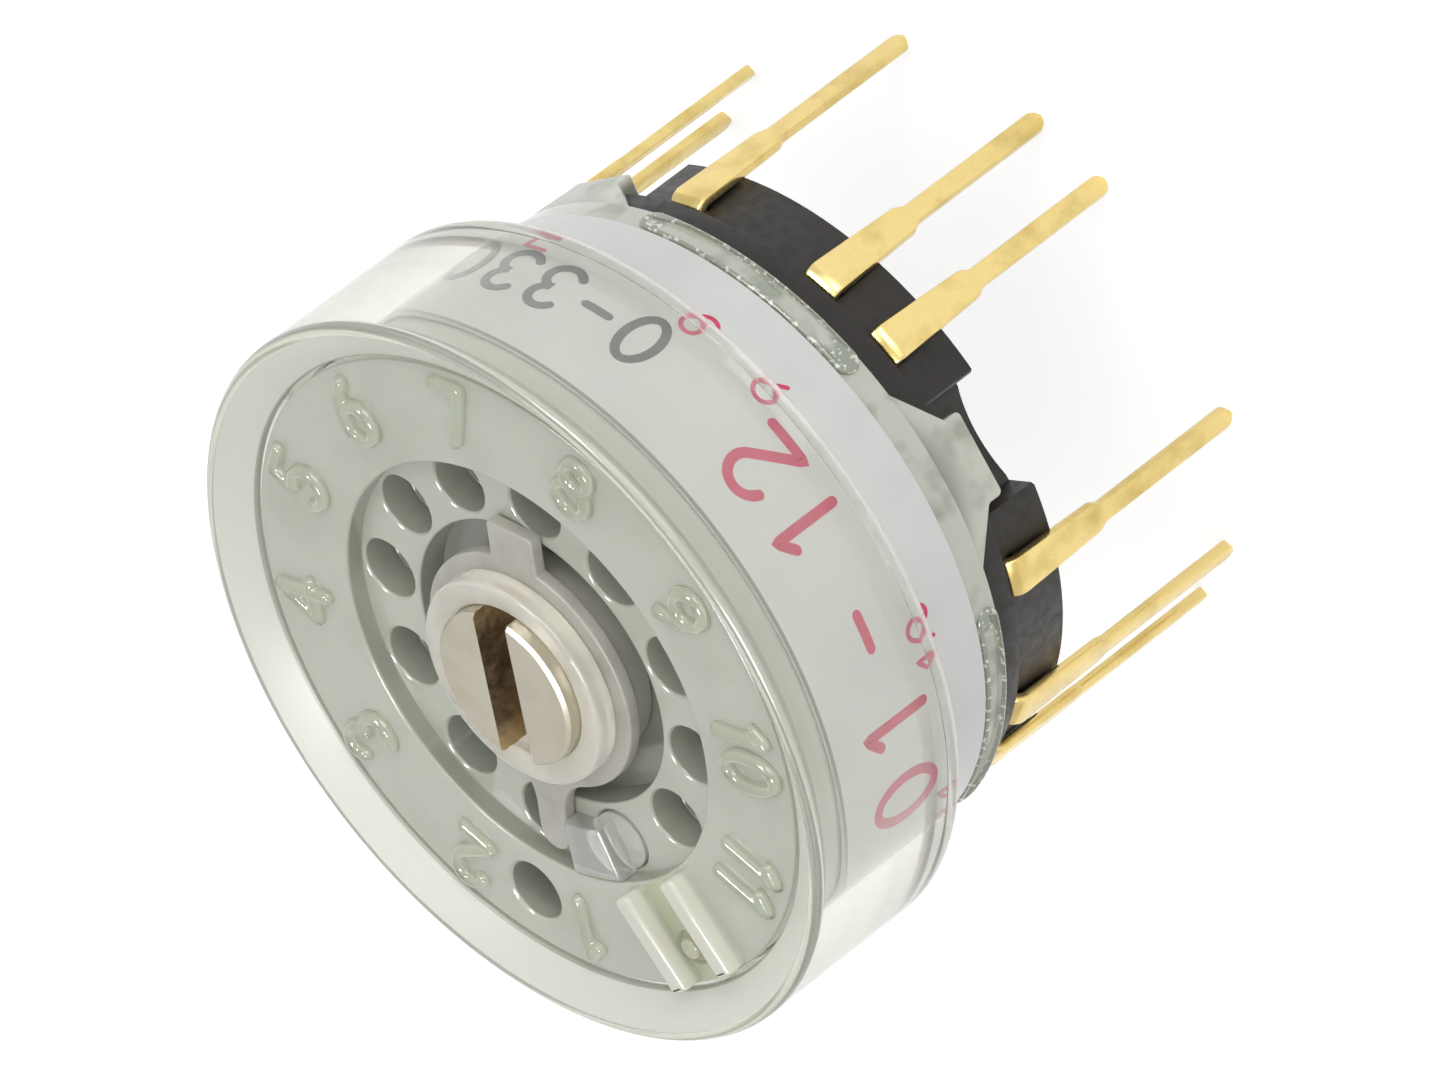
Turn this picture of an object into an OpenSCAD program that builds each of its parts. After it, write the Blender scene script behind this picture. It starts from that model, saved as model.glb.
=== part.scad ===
// Sealed rotary switch for a printed circuit board: one pole, twelve positions,
// turned with a screwdriver.
// Millimetres. +Z points out of the dial, the origin is the centre of the base's rear
// face, and +Y runs to the two key bars at twelve o'clock. Angles start at +X and grow
// towards +Y. Position n lies at 90 - 30 n degrees, so the numbers read clockwise.

/* [Outer ring] */
// Wall of the clear ring
ring_wall = 1; // [0.8:0.05:1.5]
// Height of the ring's bevelled rim in front of the dial
rim_height = 0.53; // [0.4:0.01:0.8]
// Length of the ring along the switch
ring_length = 4.29; // [3.5:0.01:5]
// Rounding of the ring's outer edges
ring_round = 0.18; // [0.1:0.01:0.2]
// Width of the rim that is left in front of the bevel round the dial
rim_w = 0.25; // [0.22:0.01:0.4]

/* [Dial case] */
// Outside diameter of the clear case
case_d = 14.7; // [14.4:0.1:15]
// Length of the case from its rear edge to the dial face
case_length = 6.26; // [6.1:0.01:6.5]
// Wall round the case's cavity
case_wall = 0.95; // [0.9:0.05:1]
// Thickness of the front plate at the numbers
dial_plate_t = 1.55; // [1.5:0.01:1.6]
// Diameter of the round recess in the dial
recess_d = 9.9; // [9.7:0.1:10.2]
// Depth of the round recess
recess_depth = 0.46; // [0.4:0.01:0.5]
// Diameter of the open well round the stop plate's sleeve
well_d = 6.66; // [6.4:0.02:6.7]
// Depth of the well below the recess floor
well_depth = 0.72; // [0.5:0.02:0.75]
// Diameter of the boss that holds the shaft seal
boss_d = 6.4; // [6:0.1:6.6]
// Length of the boss below the front plate
boss_length = 0.9; // [0.8:0.05:1]

/* [Stop holes] */
// Number of switch positions round the dial
positions = 12; // [12]
// Diameter of the circle of stop holes
stop_circle_d = 8.38; // [8.3:0.02:8.5]
// Diameter of a stop hole
stop_hole_d = 1.36; // [1.2:0.02:1.4]
// Depth of a stop hole
stop_hole_depth = 0.8; // [0.6:0.05:0.85]
// Diameter of the circle of the spare hole among the numbers
spare_circle_d = 12.2; // [11.9:0.1:12.4]
// Number of 30 degree steps from +X to the middle of the spare hole
spare_step = 1.5; // [0.5:1:2.5]

/* [Key bars] */
// Width of one key bar at twelve o'clock
key_bar_w = 0.5; // [0.4:0.05:0.6]
// Distance between the middles of the two key bars
key_bar_spacing = 1.76; // [1.5:0.02:2]
// Diameter of the small gate mark between the bars
gate_mark_d = 0.5; // [0.4:0.05:0.6]
// Height of the gate mark
gate_mark_h = 0.12; // [0.05:0.01:0.2]
// Distance of the gate mark from the axis
gate_mark_r = 6.55; // [6.2:0.05:6.8]
// How far the gate mark lies beside the middle, towards position 1
gate_mark_shift = 0.3; // [0:0.02:0.4]
// Width of the moulded dimple round the gate mark
gate_dimple_w = 0.14; // [0.1:0.02:0.2]
// Depth of that dimple
gate_dimple_depth = 0.08; // [0.04:0.01:0.12]

/* [Case lugs and ribs] */
// Angle of the first lug
lug_angle = 82.5; // [80:0.5:85]
// Width of a lug where it leaves the case
lug_root_w = 4; // [3.6:0.1:4.2]
// Width of a lug at its end
lug_tip_w = 1.9; // [1.4:0.05:2.1]
// Length of a lug
lug_length = 1.13; // [0.9:0.01:1.2]
// Length of the straight sides at a lug's end
lug_tip_h = 0.4; // [0.2:0.02:0.5]
// Half of the angle that one arc rib covers
rib_half_angle = 23; // [18:1:25]
// Height of an arc rib
rib_h = 0.6; // [0.5:0.02:0.62]
// Distance from the case's rear edge to an arc rib
rib_lift = 0.03; // [0.02:0.01:0.04]
// How far an arc rib stands out from the case
rib_proud = 0.12; // [0.05:0.01:0.15]

/* [Printed band] */
// Thickness of the film wrapped round the case
band_t = 0.06; // [0.04:0.01:0.1]
// Bare length of case behind the film
band_rear_margin = 0.67; // [0.64:0.01:0.9]
// Bare length of case in front of the film
band_front_margin = 0.73; // [0.5:0.01:1]
// Gap where the two ends of the film meet
band_seam = 0.15; // [0.05:0.05:0.4]
// Angle of the seam
band_seam_angle = 8; // [0:1:20]

/* [Base] */
// How far the flange stays inside the case
flange_inset = 0.21; // [0.16:0.01:0.3]
// How far the four lands stay inside the flange
land_inset = 0.18; // [0.1:0.01:0.25]
// Height of the lands
land_h = 1.52; // [1.4:0.02:1.6]
// Thickness of the flange
flange_t = 0.67; // [0.6:0.01:0.9]
// Height of the spigot that enters the case
spigot_h = 0.51; // [0.45:0.01:0.6]
// Depth of the notches between the lands, at their corners
notch_depth = 0.86; // [0.8:0.02:0.95]
// How much deeper a notch is in its middle
notch_bow = 0.22; // [0.1:0.02:0.24]
// Radius of a notch's curved bottom
notch_bow_r = 2.6; // [2.4:0.1:2.8]
// Angle covered by a notch
notch_angle = 22; // [18:1:26]
// Chamfer at the corners of a land
land_chamfer = 0.2; // [0.1:0.05:0.3]
// Diameter of the bearing for the lower end of the shaft
pivot_bore_d = 1.7; // [1.5:0.05:1.9]
// Depth of that bearing below the deck
pivot_bore_depth = 1.95; // [1.6:0.05:2]

/* [Terminals] */
// Thickness of the terminal strip
strip_t = 0.25; // [0.2:0.01:0.3]
// Width of a terminal at its root
strip_w = 0.84; // [0.7:0.02:0.9]
// Width of the part that enters the board
pin_w = 0.45; // [0.4:0.01:0.5]
// Length of the terminals behind the base
pin_length = 5.15; // [4:0.05:6]
// Length of the wide part behind the base
shoulder_length = 1; // [0.8:0.05:1.4]
// Width of a terminal where the wide part ends
shoulder_w = 0.68; // [0.6:0.02:0.8]
// Length of the taper from the wide part to the pin
shoulder_taper = 0.3; // [0.2:0.05:0.5]
// Outer radius of the bend
bend_r = 0.38; // [0.34:0.01:0.45]
// Gap between the lands and the bent terminal
land_gap = 0.04; // [0.02:0.01:0.1]
// Angle by which every third pin is moved clear of a lug
pin_shift_angle = 15; // [12:1:16]
// How far the fixed contacts lie inside the skirt of the detent ring
contact_inset = 0.91; // [0.8:0.01:1]
// Diameter of a fixed contact
contact_d = 0.9; // [0.8:0.05:1]
// How far the contacts stand in front of the deck
contact_proud = 0.15; // [0.1:0.01:0.2]

/* [Common terminal] */
// Angle of the common terminal, seen from +X
common_angle = 352.5; // [350:0.5:355]
// Distance of the common pin from the deepest point of a notch
common_inset = 1.1; // [1.05:0.05:1.2]
// Inner diameter of the common contact ring
common_ring_id = 4; // [3.9:0.05:4.2]
// Outer diameter of the common contact ring
common_ring_od = 5.8; // [5.6:0.05:6]
// Height of the common strip above the base's rear face
common_strip_z = 0.55; // [0.5:0.05:0.7]
// Diameter of the sealing pocket round the common pin
seal_pocket_d = 1.8; // [1.5:0.1:2]
// Depth of the sealing pocket
seal_pocket_depth = 0.35; // [0.2:0.05:0.4]

/* [Shaft] */
// Diameter of the shaft
shaft_d = 3.6; // [3.5:0.02:3.7]
// How far the shaft stands in front of its collar
shaft_proud = 0.23; // [0.1:0.01:0.4]
// Width of the screwdriver slot
slot_w = 0.9; // [0.7:0.05:1]
// Depth of the screwdriver slot
slot_depth = 1.1; // [0.8:0.05:1.3]
// Angle from the switch position to the slot, clockwise
slot_offset_angle = 4; // [0:1:8]
// Diameter of the lower end of the shaft
pivot_d = 1.6; // [1.4:0.05:1.6]
// Width across the two flats that drive the rotor
shaft_flats = 3; // [2.8:0.05:3.2]
// Chamfer at the front end of the shaft
shaft_chamfer = 0.1; // [0.05:0.05:0.25]
// Distance from the contacts to the shaft's step
shaft_step_gap = 0.08; // [0.04:0.01:0.2]

/* [Collar and stop plate] */
// Outside diameter of the collar round the shaft
collar_d = 4.82; // [4.6:0.02:5]
// Height of the collar in front of the stop plate
collar_h = 0.54; // [0.4:0.02:0.7]
// Rounding of the collar's front edges
collar_round = 0.12; // [0.05:0.01:0.15]
// Diameter of the stop plate's disc
stop_disc_d = 5.54; // [5.3:0.02:5.8]
// Thickness of the stop plate
stop_plate_t = 0.3; // [0.25:0.01:0.34]
// Width of the stop arm
arm_w = 0.8; // [0.6:0.02:0.9]
// Reach of the stop arm from the axis
arm_r = 4.65; // [4.5:0.01:4.75]
// Radius of the fillets where the arm joins the disc
arm_fillet = 1.1; // [0.8:0.05:1.15]
// Width of the tab opposite the arm
tab_w = 1.26; // [1:0.02:1.5]
// Reach of the tab from the axis
tab_r = 3.6; // [3.5:0.05:3.8]
// Angle from the switch position to the arm, clockwise
arm_offset_angle = 8; // [6:1:9]

/* [Stop pin] */
// Number of the stop hole that holds the pin, counted from +X
stop_pin_step = 2.5; // [2.5]
// Width of the pin's head, from the recess wall inwards
pin_head_w = 1.21; // [1.1:0.01:1.3]
// Height of the head above the recess floor
pin_head_h = 0.49; // [0.4:0.01:0.6]
// Chamfer round the top of the head
pin_head_chamfer = 0.08; // [0.04:0.01:0.12]
// Play of the arm at each end of its turn
stop_play_angle = 0.4; // [0.3:0.05:0.6]

/* [Rotor and detent] */
// Gap between the rotor and the detent crests
rotor_gap = 0.34; // [0.3:0.02:0.4]
// Distance from the rotor's full width up to the case's boss
rotor_head_gap = 0.4; // [0.3:0.02:0.5]
// Diameter of the rotor's upper hub
rotor_hub_d = 6.2; // [5.8:0.1:6.4]
// Distance from the deck to the wiper
wiper_lift = 0.6; // [0.5:0.02:0.7]
// Diameter of a detent ball
ball_d = 1.2; // [1.1:0.02:1.24]
// How far the detent crests stand in from the skirt
crest_h = 0.57; // [0.5:0.01:0.6]
// Depth of a detent valley
valley_depth = 0.16; // [0.12:0.01:0.18]
// Radius of a detent valley
valley_r = 0.75; // [0.72:0.01:0.8]
// Height of the toothed band in the detent ring
tooth_band_h = 1.7; // [1.6:0.05:1.8]
// Wall of the detent ring's skirt
skirt_t = 0.47; // [0.4:0.01:0.5]
// Width of the two keys that hold the detent ring
key_w = 0.8; // [0.6:0.05:1]
// How far the keys stand out
key_proud = 0.3; // [0.2:0.02:0.34]
// Inner end of the two spring bores, from the axis
spring_bore_r = 2.3; // [2.2:0.05:2.4]
// Wire diameter of a detent spring
spring_wire_d = 0.14; // [0.1:0.01:0.16]
// Number of turns of a detent spring
spring_turns = 5; // [4:0.5:6]

/* [Wiper] */
// Thickness of the wiper's leaf
leaf_t = 0.12; // [0.1:0.01:0.14]
// Outer diameter of the wiper's ring
leaf_d = 7.4; // [7.2:0.1:7.6]
// Width of the contact arm
leaf_arm_w = 1; // [0.8:0.05:1.1]
// Diameter of the contact buttons
button_d = 0.5; // [0.4:0.05:0.6]
// Number of contact buttons, one of them on the contact arm
button_count = 3; // [3:1:4]
// Radial play of the leaf round the shaft
leaf_play = 0.08; // [0.04:0.02:0.12]
// Diameter of the two rivet pegs on the rotor
peg_d = 0.7; // [0.5:0.05:0.8]
// Diameter of the circle of the pegs
peg_circle_d = 6.3; // [6.2:0.02:6.4]
// Least width of the leaf round each peg
peg_land = 0.15; // [0.1:0.01:0.18]
// How far the pegs stand behind the leaf
peg_proud = 0.08; // [0.05:0.01:0.12]

/* [Seals] */
// Thickness of the ring seal round the shaft
shaft_seal_t = 0.86; // [0.8:0.01:0.88]
// Thickness of the gasket between case and base, across its width
gasket_w = 0.32; // [0.28:0.01:0.34]
// Height of the gasket
gasket_h = 0.28; // [0.24:0.01:0.3]

/* [Fits] */
// Radial play of the shaft in its bearings
shaft_play = 0.04; // [0.02:0.01:0.08]
// Play between parts that are pushed together
push_gap = 0.02; // [0.01:0.01:0.04]
// Gap round a terminal in its pocket
pocket_gap = 0.01; // [0.005:0.005:0.02]
// Gap between the lugs and the base
lug_gap = 0.06; // [0.04:0.01:0.1]
// Gap below or above a part that turns
turning_gap = 0.04; // [0.03:0.01:0.06]
// Gap between the wiper's buttons and the contacts
contact_gap = 0.02; // [0.015:0.005:0.03]

/* [Hidden] */
$fn = 72;
cut = 1;                                   // overrun of a cutting shape past a face
step_angle = 360 / positions;
lug_count = 4;
lug_step = 360 / lug_count;
rest_angle = position_angle(1);            // the switch rests at position 1
slot_angle = rest_angle - slot_offset_angle;
ball_angle = rest_angle + 90;              // the balls lie across the wiper's arm

// Heights, from the base's rear face upwards
case_z = land_h + flange_t;
deck_z = case_z + spigot_h;
dial_z = case_z + case_length;
rim_z = dial_z + rim_height;
floor_z = dial_z - recess_depth;
well_z = floor_z - well_depth;
cavity_z = dial_z - dial_plate_t;
boss_z = cavity_z - boss_length;
contact_z = deck_z + contact_proud;
leaf_z = deck_z + wiper_lift;
rotor_z = leaf_z + leaf_t;
rotor_top_z = boss_z - rotor_head_gap;
ball_z = (rotor_z + rotor_top_z) / 2;
tooth_z = ball_z - tooth_band_h / 2;
tooth_top_z = ball_z + tooth_band_h / 2;
plate_z = floor_z + turning_gap;
plate_top_z = plate_z + stop_plate_t;
collar_top_z = plate_top_z + collar_h;
shaft_top_z = collar_top_z + shaft_proud;
shaft_step_z = contact_z + shaft_step_gap;
strip_z = land_h - strip_t;
seal_gland_h = shaft_seal_t + 2 * push_gap;

// Radii
case_r = case_d / 2;
cavity_r = case_r - case_wall;
spigot_r = cavity_r - push_gap;
band_r_in = case_r + push_gap;
ring_r_in = band_r_in + band_t + push_gap;
skirt_r_in = spigot_r - skirt_t;
flange_r = case_r - flange_inset;
land_r = flange_r - land_inset;
notch_r = land_r - notch_depth;
shaft_r = shaft_d / 2;
bearing_r = shaft_r + shaft_play;
gland_r = shaft_r + shaft_seal_t + 2 * push_gap;
gasket_r_in = cavity_r;
gasket_seat_r = cavity_r + gasket_w + push_gap;
terminal_r = land_r + land_gap;            // inner face of a bent terminal
bend_x = terminal_r + strip_t - bend_r;    // centre of the terminal's bend
bend_z = land_h - bend_r;
common_mid_r = (common_ring_id + common_ring_od) / 4;
common_r = notch_r - notch_bow - common_inset;
contact_r = skirt_r_in - contact_inset;
crest_r = skirt_r_in - crest_h;
rotor_r = crest_r - rotor_gap;
ball_r = ball_d / 2;
ball_centre_r = crest_r - push_gap - ball_r;  // where the balls pass the crests

// The arm and the head of the stop pin, which share one 30 degree step
arm_angle = rest_angle - arm_offset_angle;
head_angle = arm_angle + step_angle / 2;
pin_head_r_out = recess_d / 2 - push_gap;
pin_head_r_in = pin_head_r_out - pin_head_w;
head_half_angle = step_angle / 2 - asin(arm_w / 2 / pin_head_r_in) - stop_play_angle;

function position_angle(n) = 90 - step_angle * n;
function pin_angle(n) = position_angle(n) + (n % 3 == 0 ? pin_shift_angle : 0);
function polar(r, a) = [r * cos(a), r * sin(a)];

// A plain tube from height z0 to z1
module tube(r_in, r_out, z0, z1) {
    translate([0, 0, z0])
        difference() {
            cylinder(r = r_out, h = z1 - z0);
            translate([0, 0, -cut]) cylinder(r = r_in, h = z1 - z0 + 2 * cut);
        }
}

// Puts its child at every lug, then turned by offset_angle
module at_lugs(offset_angle = 0) {
    for (k = [0 : lug_count - 1])
        rotate([0, 0, lug_angle + offset_angle + k * lug_step]) children();
}

// Extrudes an outline seen from outside the switch inwards from r_out to r_in.
// The outline's x runs round the switch and its y is the height.
module radial_prism(r_in, r_out) {
    translate([r_in, 0, 0])
        rotate([90, 0, 90]) linear_extrude(r_out - r_in) children();
}

// Extrudes an outline seen from the side across a width.
// The outline's x runs outwards and its y is the height.
module side_prism(width) {
    rotate([90, 0, 0]) linear_extrude(width, center = true) children();
}

// Outer ring: a thick clear ring with rounded outer edges and a bevel round the dial
module outer_ring() {
    r_out = ring_r_in + ring_wall;
    color([0.86, 0.87, 0.81, 0.55])
        translate([0, 0, rim_z - ring_length])
            rotate_extrude() {
                polygon([
                    [ring_r_in, 0],
                    [r_out - ring_round, 0],
                    [r_out - ring_round, ring_length],
                    [r_out - rim_w, ring_length],
                    [ring_r_in, ring_length - rim_height]
                ]);
                translate([r_out - 2 * ring_round, ring_round])
                    square([2 * ring_round, ring_length - 2 * ring_round]);
                for (z = [ring_round, ring_length - ring_round])
                    translate([r_out - ring_round, z]) circle(r = ring_round);
            }
}

// Outline of a lug, grown by a gap where it is used to cut the base
module lug_outline(grow = 0) {
    z_tip = case_z - lug_length - grow;
    polygon([
        [-lug_root_w / 2 - grow, case_z + (grow > 0 ? 0 : case_wall)],
        [-lug_root_w / 2 - grow, case_z],
        [-lug_tip_w / 2 - grow, z_tip + lug_tip_h],
        [-lug_tip_w / 2 - grow, z_tip],
        [lug_tip_w / 2 + grow, z_tip],
        [lug_tip_w / 2 + grow, z_tip + lug_tip_h],
        [lug_root_w / 2 + grow, case_z],
        [lug_root_w / 2 + grow, case_z + (grow > 0 ? 0 : case_wall)]
    ]);
}

// One arc rib along the rear rim, with half-round ends
module arc_rib() {
    r_in = case_r - rib_proud;
    r_out = case_r + rib_proud;
    z0 = case_z + rib_lift;
    rotate([0, 0, -rib_half_angle])
        rotate_extrude(angle = 2 * rib_half_angle)
            translate([r_in, z0]) square([r_out - r_in, rib_h]);
    intersection() {
        tube(r_in, r_out, z0, z0 + rib_h);
        for (side = [-1, 1])
            rotate([0, 0, side * rib_half_angle])
                translate([0, 0, z0 + rib_h / 2])
                    rotate([0, 90, 0]) cylinder(r = rib_h / 2, h = r_out + cut);
    }
}

module key_bars() {
    for (side = [-1, 1])
        intersection() {
            translate([side * key_bar_spacing / 2 - key_bar_w / 2, recess_d / 2, floor_z])
                cube([key_bar_w, case_r, rim_z - floor_z]);
            cylinder(r = case_r, h = rim_z);
        }
}

// Gate mark: a low stub in a dimple, left where the case was filled in its mould
module gate_mark() {
    translate([gate_mark_shift, gate_mark_r, dial_z - gate_dimple_depth])
        cylinder(d = gate_mark_d, h = gate_dimple_depth + gate_mark_h);
}

module gate_dimple() {
    translate([gate_mark_shift, gate_mark_r, dial_z - gate_dimple_depth])
        cylinder(d = gate_mark_d + 2 * gate_dimple_w, h = gate_dimple_depth + cut);
}

// Dial case: the clear cup that carries the dial, the seal gland, lugs and ribs
module dial_case() {
    color([0.75, 0.78, 0.72, 0.7])
        difference() {
            union() {
                difference() {
                    translate([0, 0, case_z]) cylinder(r = case_r, h = case_length);
                    gate_dimple();
                }
                gate_mark();
                key_bars();
                at_lugs()
                    intersection() {
                        tube(gasket_seat_r + lug_gap, case_r, 0, dial_z);
                        radial_prism(0, case_r + cut) lug_outline();
                    }
                at_lugs(lug_step / 2) arc_rib();
            }
            case_cavity();
            dial_front_cuts();
        }
}

// The inside of the case: two bores, the keyways and the gasket seat
module case_cavity() {
    difference() {
        union() {
            translate([0, 0, case_z - cut])
                cylinder(r = cavity_r, h = tooth_top_z + push_gap - case_z + cut);
            translate([0, 0, case_z])
                cylinder(r = skirt_r_in, h = cavity_z - case_z);
        }
        translate([0, 0, boss_z]) cylinder(d = boss_d, h = boss_length + cut);
    }
    translate([0, 0, boss_z - cut]) cylinder(r = gland_r, h = seal_gland_h + cut);
    translate([0, 0, case_z - cut]) cylinder(r = gasket_seat_r, h = gasket_h + push_gap + cut);
    at_lugs(lug_step / 2)
        translate([0, -key_w / 2 - push_gap, case_z - cut])
            cube([cavity_r + key_proud + push_gap, key_w + 2 * push_gap,
                  tooth_top_z + push_gap - case_z + cut]);
}

// Everything sunk into the dial: recess, well, bearing bore and stop holes
module dial_front_cuts() {
    translate([0, 0, floor_z]) cylinder(d = recess_d, h = rim_z);
    translate([0, 0, well_z]) cylinder(d = well_d, h = rim_z);
    cylinder(r = bearing_r, h = rim_z);
    for (k = [0 : positions - 1])
        rotate([0, 0, step_angle * (k + 0.5)])
            translate([stop_circle_d / 2, 0, floor_z - stop_hole_depth])
                cylinder(d = stop_hole_d, h = rim_z);
    rotate([0, 0, step_angle * spare_step])
        translate([spare_circle_d / 2, 0, floor_z - stop_hole_depth])
            cylinder(d = stop_hole_d, h = rim_z);
}

// Printed band: a film wrapped round the case, with its seam at the far side
module label_band() {
    z0 = case_z + band_rear_margin;
    z1 = dial_z - band_front_margin;
    color([0.8, 0.8, 0.8])
        difference() {
            tube(band_r_in, band_r_in + band_t, z0, z1);
            rotate([0, 0, band_seam_angle])
                translate([0, -band_seam / 2, z0 - cut])
                    cube([case_r + cut, band_seam, z1 - z0 + 2 * cut]);
        }
}

module case_gasket() {
    color([0.15, 0.15, 0.15])
        tube(gasket_r_in, gasket_r_in + gasket_w, case_z + push_gap, case_z + gasket_h);
}

module shaft_seal() {
    color([0.12, 0.12, 0.12])
        translate([0, 0, boss_z + seal_gland_h / 2])
            rotate_extrude()
                translate([(shaft_r + gland_r) / 2, 0]) circle(d = shaft_seal_t);
}

// Detent ring: a skirt that stands on the base's spigot, with twelve valleys inside
module detent_ring() {
    valley_centre_r = crest_r + valley_depth - valley_r;
    color([0.9, 0.88, 0.8])
        difference() {
            union() {
                tube(skirt_r_in, spigot_r, deck_z + push_gap, tooth_top_z);
                tube(crest_r, skirt_r_in + skirt_t / 2, tooth_z, tooth_top_z);
                at_lugs(lug_step / 2)
                    translate([spigot_r - skirt_t / 2, -key_w / 2, tooth_z])
                        cube([skirt_t / 2 + key_proud, key_w, tooth_band_h]);
            }
            for (k = [0 : positions - 1])
                rotate([0, 0, step_angle * k])
                    translate([valley_centre_r, 0, tooth_z - cut])
                        cylinder(r = valley_r, h = tooth_band_h + 2 * cut);
        }
}

// Plan of one notch between two lands, with chamfered corners and a bowed bottom
module notch_plan() {
    half = notch_angle / 2;
    r_in = notch_r;
    y_in = r_in * sin(half);
    r_land = land_r - land_chamfer;
    r_far = flange_r + cut;
    flare = r_land * sin(half) + r_far - r_land;
    polygon([
        [r_in, -y_in],
        [r_land, -r_land * sin(half)],
        [r_far, -flare],
        [r_far, flare],
        [r_land, r_land * sin(half)],
        [r_in, y_in]
    ]);
    intersection() {
        translate([r_in - notch_bow + notch_bow_r, 0]) circle(r = notch_bow_r);
        translate([r_in - notch_bow_r, -y_in]) square([notch_bow_r + notch_depth / 2, 2 * y_in]);
    }
}

// Base: lands, flange and spigot in one moulding round the terminals
module terminal_base() {
    color([0.2, 0.19, 0.18])
        difference() {
            union() {
                cylinder(r = land_r, h = land_h);
                translate([0, 0, land_h]) cylinder(r = flange_r, h = flange_t);
                translate([0, 0, case_z]) cylinder(r = spigot_r, h = spigot_h);
            }
            at_lugs() {
                translate([0, 0, -cut]) linear_extrude(land_h + cut) notch_plan();
                radial_prism(gasket_seat_r, case_d) lug_outline(lug_gap);
            }
            translate([0, 0, deck_z - pivot_bore_depth])
                cylinder(d = pivot_bore_d, h = pivot_bore_depth + cut);
            for (n = [1 : positions]) {
                terminal_inside(n, pocket_gap);
                bend_rebate(n);
            }
            common_shape(pocket_gap);
            translate(concat(polar(common_r, common_angle), -cut))
                cylinder(d = seal_pocket_d, h = seal_pocket_depth + cut);
        }
}

// The part of terminal n that lies in the base: a fixed contact and its strip
module terminal_inside(n, gap = 0) {
    start = polar(contact_r, position_angle(n));
    bend_at = polar(notch_r, pin_angle(n));
    run = bend_at - start;
    width = strip_w + 2 * gap;
    z0 = strip_z - gap;
    thick = strip_t + 2 * gap;
    translate(concat(start, z0))
        cylinder(d = contact_d + 2 * gap, h = contact_z - z0 + gap);
    translate(concat(start, z0)) {
        rotate([0, 0, atan2(run.y, run.x)])
            translate([0, -width / 2, 0]) cube([norm(run), width, thick]);
        translate(concat(run, 0)) cylinder(d = width, h = thick);
    }
    rotate([0, 0, pin_angle(n)])
        translate([notch_r, -width / 2, z0])
            cube([bend_x - notch_r + gap, width, thick]);
}

// Rebate in the edge of a land, which clears the bend of terminal n
module bend_rebate(n) {
    width = strip_w + 2 * pocket_gap;
    rotate([0, 0, pin_angle(n)])
        translate([bend_x, -width / 2, bend_z - pocket_gap])
            cube([case_r - bend_x, width, bend_r + 2 * pocket_gap]);
}

// Side view of the bend and the leg, from the strip down to the tip
module leg_side() {
    translate([terminal_r, -pin_length]) square([strip_t, pin_length + bend_z]);
    intersection() {
        translate([bend_x, bend_z])
            difference() {
                circle(r = bend_r);
                circle(r = bend_r - strip_t);
            }
        translate([bend_x, bend_z]) square(bend_r);
    }
}

// View from outside of a leg: wide tapering root, steeper shoulders, round tip
module leg_outline() {
    z_shoulder = -shoulder_length;
    z_pin = z_shoulder - shoulder_taper;
    z_tip = -pin_length + pin_w / 2;
    polygon([
        [-strip_w / 2, land_h],
        [-strip_w / 2, bend_z],
        [-shoulder_w / 2, z_shoulder],
        [-pin_w / 2, z_pin],
        [-pin_w / 2, z_tip],
        [pin_w / 2, z_tip],
        [pin_w / 2, z_pin],
        [shoulder_w / 2, z_shoulder],
        [strip_w / 2, bend_z],
        [strip_w / 2, land_h]
    ]);
    translate([0, z_tip]) circle(d = pin_w);
}

module terminal(n) {
    color([0.85, 0.73, 0.38]) {
        terminal_inside(n);
        rotate([0, 0, pin_angle(n)])
            intersection() {
                side_prism(strip_w) leg_side();
                radial_prism(0, case_d) leg_outline();
            }
    }
}

// Common terminal: contact ring on the deck, a riser, a strip and its own pin
module common_shape(gap = 0) {
    width = strip_w + 2 * gap;
    pin = pin_w + 2 * gap;
    thick = strip_t + 2 * gap;
    tube(common_ring_id / 2 - gap, common_ring_od / 2 + gap,
         contact_z - strip_t - gap, contact_z + gap);
    rotate([0, 0, common_angle]) {
        translate([common_mid_r - thick / 2, -width / 2, common_strip_z - gap])
            cube([thick, width, contact_z - strip_t / 2 - common_strip_z + gap]);
        translate([common_mid_r - thick / 2, -width / 2, common_strip_z - gap])
            cube([common_r - common_mid_r + thick, width, thick]);
        translate([common_r - thick / 2, -pin / 2, pin_w / 2 - pin_length - gap])
            cube([thick, pin, pin_length + common_strip_z - pin_w / 2 + gap]);
        translate([common_r - thick / 2, 0, pin_w / 2 - pin_length])
            rotate([0, 90, 0]) cylinder(d = pin, h = thick);
    }
}

module common_terminal() {
    color([0.85, 0.73, 0.38]) common_shape();
}

// Resin that closes the pocket round the common pin
module rear_seal() {
    color([0.3, 0.24, 0.16])
        difference() {
            translate(concat(polar(common_r, common_angle), push_gap))
                cylinder(d = seal_pocket_d - 2 * pocket_gap, h = seal_pocket_depth - push_gap);
            common_shape(pocket_gap);
        }
}

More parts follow.
